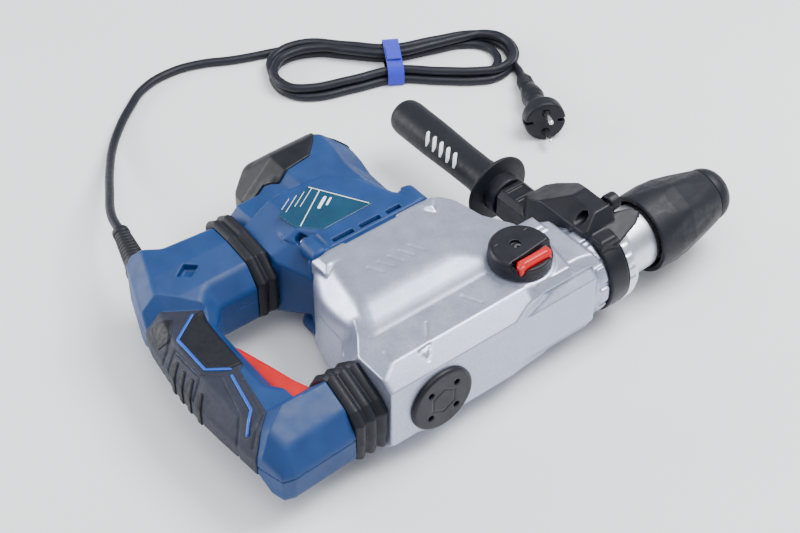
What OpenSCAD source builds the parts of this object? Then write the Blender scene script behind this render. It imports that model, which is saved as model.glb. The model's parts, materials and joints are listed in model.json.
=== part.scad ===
// Corded rotary hammer lying on its side.
// Barrel axis along X with the chuck at +X, motor axis along Y, selector side up.
// Inside the modules x = 0 is the rear rim of the chuck sleeve and y = z = 0 is the barrel axis;
// seat() moves that frame so the tool rests on z = 0, centred over the origin.

/* [Overall] */
// Height of the barrel axis above the surface the tool lies on
axis_height = 50; // [50:0.5:56]
// Distance from the chuck's rear rim to the nose of the chuck
nose_x = 91; // [90:1:96]
// Distance from the chuck's rear rim back to the grip
handle_back = 385; // [384:1:390]
// Distance from the barrel axis to the end of the motor
motor_end = 247; // [246:1:256]
// Distance from the barrel axis to the back of the casing
casing_back = 36; // [36:0.5:38]

/* [Chuck and hammer mechanism] */
// Diameter of the tool shank the holder takes
shank_d = 18; // [17.5:0.1:18.2]
// Outer radius of the chuck sleeve at its widest
sleeve_r = 34.4; // [33.5:0.1:35]
// Travel of the chuck sleeve when a bit is released
sleeve_travel = 8; // [4:0.5:9]
// Bore of the cylinder the piston runs in
cylinder_bore = 36; // [35:0.5:36.5]
// Radius of the crank, half of the piston stroke
crank_r = 13; // [11:0.5:13]
// Distance between the centres of the connecting rod's eyes
rod_length = 70; // [68:1:70]
// Radial running clearance of shafts and pistons
running_gap = 0.05; // [0.02:0.01:0.08]

/* [Gears] */
// Module of the spur gears
spur_module = 1.25; // [1.25]
// Teeth of the pinion cut on the armature shaft
motor_teeth = 9; // [9]
// Teeth of the crank gear
crank_teeth = 51; // [51]
// Teeth of the intermediate gear
intermediate_teeth = 39; // [39]
// Module of the angle drive
angle_module = 1.6; // [1.6]
// Teeth of the angle drive's pinion
bevel_pinion_teeth = 10; // [10]
// Teeth of the gear on the spindle
bevel_gear_teeth = 36; // [36]

/* [Motor] */
// Distance of the motor axis behind the chuck's rear rim
motor_back = 180; // [180]
// Outer radius of the stator
stator_r = 38.8; // [37:0.1:38.8]
// Radius of the armature core
core_r = 24; // [22:0.5:24]

/* [Handles] */
// Half thickness of the grip
grip_half = 20; // [18:0.5:21]
// Half thickness of the handle's arms
arm_half = 33; // [31:0.5:34]
// Wall of the plastic shells
shell_wall = 3; // [2.5:0.1:3.5]
// Thickness of the soft skin over the grip
skin = 1.5; // [1:0.1:2]
// Radius of the side grip
side_grip_r = 15.6; // [14:0.1:17]
// Radius of the side grip's flange
side_flange_r = 30; // [26:0.5:32]
// Distance from the barrel axis to the end of the side grip
side_grip_end = 240; // [220:1:244]

/* [Cord] */
// Diameter of the power cable
cable_d = 8; // [7:0.5:9]
// Diameter of the plug's round face
plug_d = 37; // [34:1:38]

/* [Hidden] */
$fn = 48;
hull_fn = 32;

origin_x = (handle_back + skin - nose_x) / 2;
origin_y = -(motor_end - casing_back - 4) / 2;

motor_x = -motor_back;
crank_x = motor_x - spur_module * (motor_teeth + crank_teeth) / 2;
intermediate_x = motor_x + spur_module * (motor_teeth + intermediate_teeth) / 2;
wrist_x = crank_x + crank_r + rod_length;
rod_half = 8;
crank_pin_gap = 0.3;

// Spindle tube, shared by its bearings and bores
tube_r = cylinder_bore / 2 + 5;
tube_rear = -186;
tube_front = -60;
holder_r = 21;
holder_front = nose_x - 7;

// Angle drive: a pinion on the intermediate shaft meets teeth on the face of a ring
bevel_pinion_r = angle_module * bevel_pinion_teeth / 2;
bevel_mesh_x = intermediate_x + bevel_pinion_r;
bevel_tooth_in = 25;
bevel_gear_r = 31;

// Levels along the motor axis
gear_y = 62;
gear_width = 12;
plate_y = 89;
motor_y = 107;
core_y = 130;
core_len = 50;
end_wall_y = 210;

// Side handle and its clamp on the collar
side_x = -51;
band_x = -62;
band_width = 19;
band_r = 38.4;
collar_r = 34.5;
rod_bore_y = 6;
rod_bore_z = 46;
rod_bore_r = 4.1;

// Height of the motor housing's flat that carries the label
label_z = 46;

// Mode selector
selector_x = -126;
selector_y = 1.5;
deck_z = 44;

// Trigger pivot
trigger_x = -331;
trigger_y = 98;

// Handle outlines in plan, each convex
arm_top = [[-310, -33], [-372, -37], [-381, -8], [-384, 34], [-318, 34], [-310, 25]];
grip_plan = [[-384, 26], [-385, 60], [-383, 92], [-377, 132], [-368, 158], [-330, 150],
             [-326, 118], [-321, 93], [-313, 34]];
arm_low = [[-377, 132], [-368, 164], [-350, 209], [-337, 213], [-322, 204], [-282, 199],
           [-282, 128], [-327, 128]];

// Fixing screws of the handle shells, in plan
handle_screw_at = [[-366, -22], [-352, 20], [-358, 140], [-345, 196], [-298, 186]];
// Screws that hold the motor housing: x and z, their heads face the motor's end
motor_screw_at = [[-240, 40], [-143, 40], [-240, -40], [-143, -40]];

// Route of the cable from the strain relief to the hank, in the seated frame
relief_foot = [-337, 214, 0];
relief_tip = [-325, 262, 0];
cable_route = [[-177, 159, 50], [-170, 184, 44], [-148, 226, 31], [-126, 264, 18], [-104, 297, 9],
               [-82, 322, 5], [-60, 341, 4], [-32, 359, 4], [0, 364, 4], [28, 358, 4], [56, 344, 4],
               [84, 328, 4]];
// Route of the short lead from the hank to the plug
lead_route = [[266, 188, 4], [262, 176, 4], [256, 162, 6], [250, 150, 8]];
plug_from = [250, 150, 8];
plug_face = [214, 78, 19];
// Hank of cable: centres of the round ends of its outline and their radii
hank_lobes = [[102, 284, 38], [236, 203, 34]];
hank_waist = [[170, 243, 24]];
hank_height = 17;

// ---------- helpers ----------

// Moves the barrel frame to the seated frame
module seat() {
    translate([origin_x, origin_y, axis_height]) children();
}

// Local z becomes +X, starting at x0
module along_x(x0, y = 0, z = 0) {
    translate([x0, y, z]) rotate([0, 90, 0]) children();
}

// Local z becomes +Y, starting at y0
module along_y(x, y0, z = 0) {
    translate([x, y0, z]) rotate([-90, 0, 0]) children();
}

module tube(outer, inner, len) {
    difference() {
        cylinder(r = outer, h = len);
        translate([0, 0, -1]) cylinder(r = inner, h = len + 2);
    }
}

// Upright block centred in z
module slab(x0, x1, y0, y1, half) {
    translate([x0, y0, -half]) cube([x1 - x0, y1 - y0, 2 * half]);
}

// Plan outline as a plate with chamfered rims, symmetrical about z = 0
module chamfered(outline, half, flat, inset) {
    hull() {
        translate([0, 0, -flat]) linear_extrude(2 * flat) polygon(outline);
        translate([0, 0, -half]) linear_extrude(2 * half) offset(delta = -inset) polygon(outline);
    }
}

// Rectangle with cut corners, centred in its first direction
function cut_rect(half, y0, y1, cut) = [
    [-half, y0 + cut], [-half + cut, y0], [half - cut, y0], [half, y0 + cut],
    [half, y1 - cut], [half - cut, y1], [-half + cut, y1], [-half, y1 - cut]
];

// Gear outline: straight-sided teeth, narrower than their gaps so that a pair runs free
function gear_points(teeth, m) = [
    for (i = [0 : teeth - 1], c = [[-0.29, -1.1], [-0.13, 0.7], [0.13, 0.7], [0.29, -1.1]])
        let (a = (i + c[0]) * 360 / teeth, r = m * (teeth / 2 + c[1]))
            [r * cos(a), r * sin(a)]
];

module gear(teeth, m, width, bore) {
    difference() {
        linear_extrude(width) polygon(gear_points(teeth, m));
        translate([0, 0, -1]) cylinder(r = bore, h = width + 2);
    }
}

function unit(v) = v / norm(v);

function ring_points(p, t, up, r, sides) =
    let (side = unit(cross(t, up)), top = cross(side, t))
        [for (k = [0 : sides - 1])
            let (a = k * 360 / sides) p + r * (cos(a) * side + sin(a) * top)];

// Round bar swept along a path; up is never parallel to the path
module sweep(path, r, sides, up) {
    last = len(path) - 1;
    points = [for (i = [0 : last])
        let (t = unit(path[min(i + 1, last)] - path[max(i - 1, 0)]))
            each ring_points(path[i], t, up, r, sides)];
    walls = [for (i = [0 : last - 1], k = [0 : sides - 1])
        let (n = (k + 1) % sides)
            [i * sides + k, i * sides + n, (i + 1) * sides + n, (i + 1) * sides + k]];
    ends = [[for (k = [sides - 1 : -1 : 0]) k], [for (k = [0 : sides - 1]) last * sides + k]];
    polyhedron(points = points, faces = concat(walls, ends), convexity = 8);
}

// Coil spring along local z
module spring(r, wire_r, len, turns) {
    steps = turns * 14;
    path = [for (i = [0 : steps])
        let (a = i * 360 / 14) [r * cos(a), r * sin(a), wire_r + (len - 2 * wire_r) * i / steps]];
    sweep(path, wire_r, 6, [0, 0, 1]);
}

// Smooth path through the route's points
function blend(a, b, c, d, t) =
    0.5 * (2 * b + (c - a) * t + (2 * a - 5 * b + 4 * c - d) * t * t
        + (3 * b - a - 3 * c + d) * t * t * t);

function smooth(route, steps) =
    let (last = len(route) - 1)
        [for (i = [0 : last - 1], s = [0 : steps - 1])
            let (p = blend(route[max(i - 1, 0)], route[i], route[i + 1], route[min(i + 2, last)],
                           s / steps))
                [p[0], p[1], max(p[2], cable_d / 2)],
         route[last]];

// ---------- casings ----------

// Section of the barrel casing across X: half width in z, then y
casing_section = [[-29, -casing_back], [29, -casing_back], [41, -20], [41, 34], [30, 44],
                  [-30, 44], [-41, 34], [-41, -20]];
// Plan of the crankcase, from the barrel to the motor flange
crankcase_plan = [[-262, -34], [-264, 30], [-254, plate_y], [-121, plate_y], [-112, 62], [-96, 42],
                  [-174, 20], [-220, -10]];

module drum_section() {
    polygon([for (p = cut_rect(axis_height, -250, -121, 12)) [p[1], p[0]]]);
}

module gear_housing() color([0.72, 0.75, 0.8]) seat() difference() {
    union() {
        along_x(-262) linear_extrude(188) polygon(casing_section);
        chamfered(crankcase_plan, axis_height, 38, 9);
        along_x(-75) cylinder(r = collar_r, h = 43);
        along_x(-280) linear_extrude(20) polygon(cut_rect(31, -33, 25, 10));
        translate([selector_x, selector_y, 30]) cylinder(r = 27, h = deck_z - 30);
        along_y(0, 79) linear_extrude(plate_y - 79) drum_section();
    }
    // bores along the barrel
    along_x(-190) cylinder(r = tube_r + 1, h = 92);
    along_x(-188) cylinder(r = 27, h = 14);
    along_x(-101) cylinder(r = 33, h = 16);
    along_x(-86) cylinder(r = 27.25, h = 60);
    along_x(-148) cylinder(r = 32.5, h = 20);
    // crank chamber and its port
    along_y(crank_x, -30) cylinder(r = 32, h = 51);
    along_y(-236, -60) cylinder(r = 22, h = 40);
    along_y(crank_x, 20) cylinder(r = 20, h = 16);
    along_y(crank_x, 30) cylinder(r = 12, h = 40);
    // intermediate shaft
    along_y(intermediate_x, 20) cylinder(r = 9.6, h = 22);
    along_y(intermediate_x, 40) cylinder(r = 11, h = 12);
    along_y(intermediate_x, 50) cylinder(r = 8, h = 20);
    // gear chamber
    along_y(crank_x, 60) cylinder(r = 34, h = 60);
    along_y(intermediate_x, 60) cylinder(r = 27, h = 60);
    along_y(motor_x, 60) cylinder(r = 12, h = 60);
    // selector shaft and guide rod
    translate([selector_x, selector_y, 20]) cylinder(r = 6 + running_gap, h = 40);
    along_x(-290, -4) cylinder(r = 5, h = 18);
    for (s = motor_screw_at) along_y(s[0], 76, s[1]) cylinder(r = 2.5, h = 20);
}

module bearing_plate() color([0.66, 0.69, 0.74]) seat() difference() {
    along_y(0, plate_y) linear_extrude(motor_y - plate_y) drum_section();
    along_y(motor_x, plate_y - 1) cylinder(r = 8, h = 30);
    along_y(motor_x, 91) cylinder(r = 14, h = 30);
    along_y(crank_x, plate_y - 1) cylinder(r = 14, h = 11);
    along_y(intermediate_x, plate_y - 1) cylinder(r = 11, h = 11);
    for (s = motor_screw_at) along_y(s[0], plate_y - 1, s[1]) cylinder(r = 3, h = 30);
}

// Section of the motor housing across Y
module motor_section(x0, x1, half, cut) {
    polygon([for (p = cut_rect(half, x0, x1, cut)) [p[1], p[0]]]);
}

module motor_slice(y, x0, x1, half, cut) {
    along_y(0, y) linear_extrude(1) motor_section(x0, x1, half, cut);
}

module motor_housing() color([0.13, 0.34, 0.62]) seat() difference() {
    union() {
        hull() {
            motor_slice(motor_y, -246, -127, label_z, 12);
            motor_slice(150, -229, -137, label_z, 22);
        }
        hull() {
            motor_slice(150, -229, -137, label_z, 22);
            motor_slice(166, -231, -134, label_z, 22);
        }
        hull() {
            motor_slice(166, -231, -134, label_z, 22);
            motor_slice(214, -236, -127, 48, 24);
            motor_slice(231, -233, -131, 46, 24);
        }
        along_x(-262) linear_extrude(42) polygon(cut_rect(33, 130, 199, 12));
        for (s = motor_screw_at) along_y(s[0], motor_y, s[1]) cylinder(r = 7, h = 12);
    }
    along_y(motor_x, motor_y - 1) cylinder(r = stator_r + 0.1, h = end_wall_y - motor_y + 1);
    along_y(motor_x, end_wall_y - 1) cylinder(r = 11, h = 13);
    along_x(-270, 165) cylinder(r = 5, h = 18);
    for (s = motor_screw_at) {
        along_y(s[0], motor_y - 1, s[1]) cylinder(r = 3, h = 30);
        along_y(s[0], motor_y + 12, s[1]) cylinder(r = 4.7, h = 30);
    }
    // cooling slots beside the label
    for (x = [-214, -192, -170]) translate([x - 8, 110, 36]) cube([16, 4, 20]);
}

module motor_end_cap() color([0.12, 0.13, 0.16]) seat() difference() {
    union() {
        hull() {
            motor_slice(222, -239, -128, axis_height, 24);
            motor_slice(234, -239, -128, axis_height, 24);
            motor_slice(motor_end - 1, -228, -138, 40, 20);
        }
        translate([-242, 200, -36]) cube([14, 30, 72]);
    }
    hull() {
        motor_slice(190, -234, -126, 49, 24);
        motor_slice(214, -236, -126, 48.2, 24);
        motor_slice(231.2, -233, -130, 46.2, 24);
    }
}

module label_panel() color([0.06, 0.33, 0.5]) seat() {
    translate([0, 0, label_z]) linear_extrude(1)
        polygon([[-212, 141], [-205, 163], [-166, 128], [-222, 120]]);
}

module grease_cap() color([0.1, 0.1, 0.12]) seat() difference() {
    union() {
        along_y(-236, -casing_back - 4) cylinder(r = 28, h = 4);
        along_y(-236, -casing_back - 1) cylinder(r = 21.9, h = 7);
    }
    for (a = [45 : 90 : 315])
        along_y(-236 + 18 * cos(a), -casing_back - 5, 18 * sin(a)) cylinder(r = 2.2, h = 4);
    along_y(-236, -casing_back + 1) cylinder(r = 18, h = 8);
}

module barrel_sleeve() color([0.75, 0.78, 0.83]) seat() {
    along_x(-85) tube(27.2, 23.6, 83);
}

module collar_ring() color([0.7, 0.73, 0.78]) seat() {
    along_x(-42.6) tube(band_r, collar_r + 0.05, 7);
    along_x(-35.6) tube(36.5, collar_r + 0.05, 3.6);
}

// ---------- motor ----------

module stator_core() color([0.45, 0.46, 0.48]) seat() {
    along_y(motor_x, core_y) tube(stator_r, core_r + 0.8, core_len);
}

module field_coils() color([0.72, 0.4, 0.2]) seat() {
    for (y = [core_y - 7, core_y + core_len]) along_y(motor_x, y) tube(36, core_r + 3, 7);
}

module brush_holders() color([0.75, 0.62, 0.3]) seat() {
    for (side = [-1, 1]) difference() {
        translate([motor_x - 6, 192, side > 0 ? 17 : -37]) cube([12, 13, 20]);
        translate([motor_x - 4.1, 194.4, side > 0 ? 10 : -32]) cube([8.2, 8.2, 22]);
    }
}

module carbon_brushes() color([0.2, 0.2, 0.2]) seat() {
    for (side = [-1, 1])
        translate([motor_x - 4, 194.5, side > 0 ? 14.4 : -29.4]) cube([8, 8, 15]);
}

module ball_bearings() color([0.8, 0.82, 0.85]) seat() {
    along_y(motor_x, 92) tube(13.9, 6 + running_gap, 12);
    along_y(motor_x, end_wall_y + 1) tube(10.9, 5 + running_gap, 9);
    along_y(crank_x, 22) tube(19.9, 10 + running_gap, 13);
    along_y(crank_x, 89.5) tube(13.9, 8 + running_gap, 9);
    along_y(intermediate_x, 41) tube(10.9, 6 + running_gap, 10);
    along_y(intermediate_x, 89.5) tube(10.9, 6 + running_gap, 9);
}

module spindle_bearings() color([0.8, 0.82, 0.85]) seat() {
    along_x(-187) tube(26.9, tube_r + running_gap, 12);
    along_x(-100) tube(32.9, tube_r + running_gap, 14);
}

module motor_screws() color([0.7, 0.7, 0.72]) seat() {
    for (s = motor_screw_at) difference() {
        union() {
            along_y(s[0], 78, s[1]) cylinder(r = 2.4, h = 42);
            along_y(s[0], 119.1, s[1]) cylinder(r = 4.4, h = 4);
        }
        along_y(s[0], 121, s[1]) cylinder(r = 2.2, h = 4, $fn = 6);
    }
}

module armature_shaft() color([0.7, 0.71, 0.73]) seat() {
    along_y(motor_x, gear_y) gear(motor_teeth, spur_module, gear_width + 2, 0.5);
    along_y(motor_x, gear_y + gear_width + 2) cylinder(r = 6, h = 132);
    along_y(motor_x, 207) cylinder(r = 5, h = 14);
}

module armature_core() color([0.5, 0.5, 0.52]) seat() {
    along_y(motor_x, core_y) tube(core_r, 6, core_len);
    for (y = [core_y - 6, core_y + core_len]) along_y(motor_x, y) tube(core_r - 4, 6, 6);
}

module commutator() color([0.75, 0.45, 0.25]) seat() {
    along_y(motor_x, 189) tube(14, 6, 17);
}

module cooling_fan() color([0.15, 0.15, 0.17]) seat() {
    along_y(motor_x, 109) tube(12, 6, 9);
    along_y(motor_x, 109) tube(34, 11.5, 1.6);
    for (i = [0 : 11]) along_y(motor_x, 110)
        rotate([0, 0, i * 30]) translate([13, -0.8, 0]) cube([20, 1.6, 8]);
}

// ---------- drive ----------

module crank_shaft() color([0.62, 0.63, 0.66]) seat() {
    along_y(crank_x, rod_half + 1) cylinder(r = 22, h = 10);
    along_y(crank_x, 18) cylinder(r = 10, h = gear_y - 18);
    along_y(crank_x, gear_y - 1) cylinder(r = 8, h = 37);
    along_y(crank_x + crank_r, rod_half + crank_pin_gap) cylinder(r = 6, h = 2);
}

module crank_gear() color([0.6, 0.61, 0.64]) seat() {
    along_y(crank_x, gear_y) gear(crank_teeth, spur_module, gear_width, 8);
}

module intermediate_shaft() color([0.62, 0.63, 0.66]) seat() {
    along_y(intermediate_x, bevel_tooth_in - 1.3) cylinder(r = 5, h = 14.4);
    along_y(intermediate_x, 37.9) cylinder(r = 6, h = 60);
}

module intermediate_gear() color([0.6, 0.61, 0.64]) seat() {
    along_y(intermediate_x, gear_y) gear(intermediate_teeth, spur_module, gear_width, 6);
}

module bevel_pinion() color([0.6, 0.61, 0.64]) seat() {
    along_y(intermediate_x, bevel_tooth_in - 1)
        gear(bevel_pinion_teeth, angle_module, bevel_gear_r - bevel_tooth_in + 1.6, 5);
}

module spindle_tube() color([0.68, 0.7, 0.73]) seat() {
    along_x(tube_rear) tube(tube_r, cylinder_bore / 2, tube_front - tube_rear);
}

module bevel_gear() color([0.6, 0.61, 0.64]) seat() {
    root_x = bevel_mesh_x + 1.1 * angle_module;
    along_x(root_x) tube(bevel_gear_r, tube_r, 8);
    tooth_pitch = PI * angle_module;
    for (i = [0 : bevel_gear_teeth - 1])
        along_x(root_x) rotate([0, 0, (i + 0.5) * 360 / bevel_gear_teeth])
            translate([bevel_tooth_in, 0, 0.1]) rotate([0, 90, 0])
                linear_extrude(bevel_gear_r - bevel_tooth_in - 0.2)
                    polygon([[0, -0.29 * tooth_pitch], [1.8 * angle_module, -0.13 * tooth_pitch],
                             [1.8 * angle_module, 0.13 * tooth_pitch], [0, 0.29 * tooth_pitch]]);
}

module tool_holder() color([0.68, 0.7, 0.73]) seat() difference() {
    union() {
        along_x(tube_front) cylinder(r = holder_r, h = holder_front - tube_front - 9);
        along_x(holder_front - 10) cylinder(r = 15, h = 10);
        along_x(0) cylinder(r = 26, h = 3);
    }
    along_x(tube_front - 1) cylinder(r = 14.5, h = 23);
    along_x(tube_front) cylinder(r = 9.5 + running_gap, h = 54);
    along_x(-8) cylinder(r = shank_d / 2 + running_gap, h = 120);
    for (side = [-1, 1]) along_x(29.9, 0, side * 12.5) cylinder(r = 3.1, h = 14.2);
}

module locking_rollers() color([0.6, 0.6, 0.62]) seat() {
    for (side = [-1, 1]) along_x(30, 0, side * 12.5) cylinder(r = 3, h = 14);
}

module chuck_spring() color([0.6, 0.6, 0.62]) seat() {
    along_x(3.1) spring(25, 1, 22.6, 3);
}

module chuck_cap() color([0.1, 0.11, 0.13]) seat() {
    along_x(75.6) rotate_extrude()
        polygon([[15, 0], [23, 0], [22.5, 5], [20, 11], [17, nose_x - 75.6], [10, nose_x - 75.6],
                 [10, holder_front - 75.6 + 0.1], [15, holder_front - 75.6 + 0.1]]);
}

module chuck_sleeve() color([0.12, 0.13, 0.15]) seat() {
    along_x(0) rotate_extrude($fn = 96)
        polygon([[29.3, 0], [33.4, 0], [sleeve_r, 22], [33.4, 36], [29.7, 52], [23.4, 75],
                 [holder_r + 0.4, 75], [holder_r + 0.4, 26], [29.3, 26]]);
}

// ---------- hammer mechanism ----------

module piston() color([0.72, 0.74, 0.77]) seat() difference() {
    along_x(wrist_x - 12) cylinder(r = cylinder_bore / 2 - running_gap, h = 30);
    slab(wrist_x - 13, wrist_x + 10.5, -rod_half - 0.4, rod_half + 0.4, 12);
    along_y(wrist_x, -30) cylinder(r = 5, h = 60);
}

module wrist_pin() color([0.6, 0.6, 0.62]) seat() {
    along_y(wrist_x, -15) cylinder(r = 5, h = 30);
}

module connecting_rod() color([0.66, 0.68, 0.7]) seat() difference() {
    union() {
        along_y(crank_x + crank_r, -rod_half) cylinder(r = 11, h = 2 * rod_half);
        along_y(wrist_x, -rod_half) cylinder(r = 8, h = 2 * rod_half);
        slab(crank_x + crank_r, wrist_x, -rod_half + 2, rod_half - 2, 5);
    }
    along_y(crank_x + crank_r, -rod_half - 1) cylinder(r = 6 + running_gap, h = 20);
    along_y(wrist_x, -rod_half - 1) cylinder(r = 5 + running_gap, h = 20);
}

module striker() color([0.55, 0.56, 0.58]) seat() {
    along_x(-114) cylinder(r = cylinder_bore / 2 - running_gap, h = 22);
    along_x(-92.1) cylinder(r = 12, h = 12.1);
}

module beat_piece() color([0.55, 0.56, 0.58]) seat() {
    along_x(-52) cylinder(r = 14, h = 13);
    along_x(-40) cylinder(r = 9.5, h = 33);
}

// ---------- controls ----------

module mode_selector() color([0.13, 0.14, 0.17]) seat() difference() {
    union() {
        translate([selector_x, selector_y, deck_z + 0.3]) cylinder(r = 23.5, h = 10);
        translate([selector_x, selector_y, deck_z + 10]) cylinder(r1 = 23.5, r2 = 20.5, h = 6);
        translate([selector_x, selector_y, 28]) cylinder(r = 6, h = 20);
        translate([selector_x + 3, selector_y, 25.4]) cylinder(r = 2, h = 4);
    }
    translate([selector_x - 2, selector_y, deck_z + 12]) cylinder(r = 3.6, h = 10);
    translate([selector_x - 21, selector_y - 21.4, deck_z + 9.6]) cube([34.6, 8.8, 12]);
}

module selector_screw() color([0.35, 0.36, 0.38]) seat() difference() {
    translate([selector_x - 2, selector_y, deck_z + 12.1]) cylinder(r = 3.4, h = 3);
    translate([selector_x - 2, selector_y, deck_z + 13.4]) cylinder(r = 1.6, h = 3, $fn = 6);
}

module lock_button() color([0.86, 0.12, 0.14]) seat() {
    translate([selector_x - 20.6, selector_y - 21, deck_z + 12.4]) cube([33.8, 8, 5.6]);
}

// ---------- rear handle ----------

module handle_solid(inset, half_grip, half_arm) {
    chamfered(arm_top, half_arm, half_arm - 9, 7 + inset / 4);
    chamfered(grip_plan, half_grip, half_grip - 9, 7);
    chamfered(arm_low, half_arm, half_arm - 9, 7 + inset / 4);
}

module handle_hollow() {
    for (outline = [arm_top, arm_low])
        translate([0, 0, 9 - arm_half]) linear_extrude(2 * arm_half - 18)
            offset(delta = -shell_wall - 4) polygon(outline);
    translate([0, 0, 8 - grip_half]) linear_extrude(2 * grip_half - 16)
        offset(delta = -shell_wall - 2) polygon(grip_plan);
}

// upper = 1 for the half above the parting plane, -1 for the half below it
module handle_half(upper) difference() {
    handle_solid(0, grip_half, arm_half);
    difference() {
        handle_hollow();
        for (s = handle_screw_at) translate([s[0], s[1], -50]) cylinder(r = 5, h = 100);
    }
    translate([-500, -100, upper > 0 ? -100 : 0]) cube([300, 400, 100]);
    // slot the trigger comes out of, and the opening it swings back into
    slab(-341, -300, 22, 104, 9.6);
    along_x(-335, -4) cylinder(r = 5.3, h = 40);
    along_x(-310, 165) cylinder(r = 5.3, h = 40);
    for (s = handle_screw_at) {
        translate([s[0], s[1], -18]) cylinder(r = 1.8, h = 30);
        translate([s[0], s[1], -60]) cylinder(r = 4.2, h = 42);
    }
}

module handle_upper_shell() color([0.13, 0.34, 0.62]) seat() handle_half(1);

module handle_lower_shell() color([0.12, 0.32, 0.6]) seat() {
    handle_half(-1);
    // moulded pivot for the trigger, held between both shells
    translate([trigger_x, trigger_y, -9.5]) cylinder(r = 3, h = 19);
}

module grip_overmould() color([0.33, 0.35, 0.42]) seat() difference() {
    chamfered([for (p = grip_plan) p - [skin, 0]], grip_half + skin, grip_half - 8, 7);
    chamfered(grip_plan, grip_half, grip_half - 9, 7);
    chamfered(arm_top, arm_half, arm_half - 9, 7);
    chamfered(arm_low, arm_half, arm_half - 9, 7);
    slab(-340, -300, -60, 260, 60);
}

module switch_module() color([0.14, 0.14, 0.15]) seat() {
    slab(-370, -350, 50, 98, 9);
}

module handle_screws() color([0.7, 0.7, 0.72]) seat() {
    for (s = handle_screw_at) {
        translate([s[0], s[1], -17.9]) cylinder(r = 1.7, h = 28);
        translate([s[0], s[1], -21]) cylinder(r = 3.8, h = 3);
    }
}

module trigger() color([0.85, 0.18, 0.22]) seat() difference() {
    translate([0, 0, -9]) linear_extrude(18)
        polygon([[-338, 95], [-333, 103], [-326, 101], [-319, 96], [-308, 31], [-311, 26],
                 [-320, 27], [-334, 40]]);
    translate([trigger_x, trigger_y, -20]) cylinder(r = 3 + running_gap, h = 40);
}

module trigger_spring() color([0.6, 0.6, 0.62]) seat() {
    along_x(-349.8, 62) spring(4, 0.6, 13, 4);
}

module top_bellows() color([0.09, 0.09, 0.11]) seat() difference() {
    union() {
        for (i = [0 : 2]) along_x(-309.9 + 10 * i) linear_extrude(6)
            polygon(cut_rect(34, -36, 27, 11));
        along_x(-309.9) linear_extrude(29.8) polygon(cut_rect(30, -32, 23, 10));
    }
    along_x(-320) linear_extrude(60) polygon(cut_rect(26, -28, 19, 9));
}

module bottom_bellows() color([0.09, 0.09, 0.11]) seat() difference() {
    union() {
        for (i = [0 : 1]) along_x(-281.9 + 11 * i) linear_extrude(6)
            polygon(cut_rect(35, 127, 202, 13));
        along_x(-281.9) linear_extrude(19.8) polygon(cut_rect(31, 131, 198, 12));
    }
    along_x(-300) linear_extrude(60) polygon(cut_rect(27, 135, 194, 11));
}

module damper_springs() color([0.6, 0.6, 0.62]) seat() {
    along_x(-309.8, -4) spring(9, 1.3, 29.6, 4);
    along_x(-281.8, 165) spring(9, 1.3, 19.6, 3);
}

module guide_rods() color([0.7, 0.71, 0.73]) seat() {
    along_x(-325, -4) cylinder(r = 4.9, h = 52);
    along_x(-297, 165) cylinder(r = 4.9, h = 44);
}

// ---------- cord ----------

// Local z runs from one point to another
module towards(a, b) {
    d = b - a;
    translate(a) rotate([0, acos(d[2] / norm(d)), atan2(d[1], d[0])]) children();
}

module strain_relief() color([0.1, 0.1, 0.12]) seat() towards(relief_foot, relief_tip) {
    tip = norm(relief_tip - relief_foot);
    rotate_extrude() polygon([[0, 0], [10.5, 0], [9.5, 10], [6.6, tip - 6], [7.2, tip - 5],
                              [7.2, tip], [0, tip]]);
}

module power_cable() color([0.08, 0.08, 0.1]) {
    sweep(smooth(cable_route, 3), cable_d / 2, 10, [0, 0, 1]);
}

module cable_hank() color([0.08, 0.08, 0.1]) {
    linear_extrude(hank_height) {
        for (lobe = hank_lobes) hull() {
            translate([lobe[0], lobe[1]]) circle(r = lobe[2]);
            for (w = hank_waist) translate([w[0], w[1]]) circle(r = w[2]);
        }
    }
}

module cable_tie() color([0.2, 0.24, 0.85]) {
    for (w = hank_waist) translate([w[0], w[1], 0.02]) rotate([0, 0, -31]) difference() {
        translate([-7, -w[2] - 2.5, 0]) cube([14, 2 * w[2] + 5, hank_height + 1.6]);
        translate([-8, -w[2] - 0.6, -1]) cube([16, 2 * w[2] + 1.2, hank_height + 1.1]);
    }
}

module plug_cable() color([0.08, 0.08, 0.1]) {
    sweep(smooth(lead_route, 2), cable_d / 2, 10, [0, 0, 1]);
}

module mains_plug() color([0.1, 0.1, 0.12]) towards(plug_from, plug_face) {
    reach = norm(plug_face - plug_from);
    rotate_extrude() polygon([[0, 0], [6, 0], [7.5, 6], [7.5, 20], [8.5, 30], [11, 36], [10, 48],
                              [plug_d / 2 - 2, reach - 16], [plug_d / 2, reach - 12],
                              [plug_d / 2, reach - 1], [plug_d / 2 - 1, reach], [0, reach]]);
}

module plug_pins() color([0.78, 0.79, 0.8]) towards(plug_from, plug_face) {
    reach = norm(plug_face - plug_from);
    for (side = [-1, 1]) translate([side * 9.5, 0, reach]) {
        cylinder(r = 2.4, h = 17.5);
        translate([0, 0, 17.5]) sphere(r = 2.4, $fn = 24);
    }
}

// ---------- side handle ----------

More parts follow.
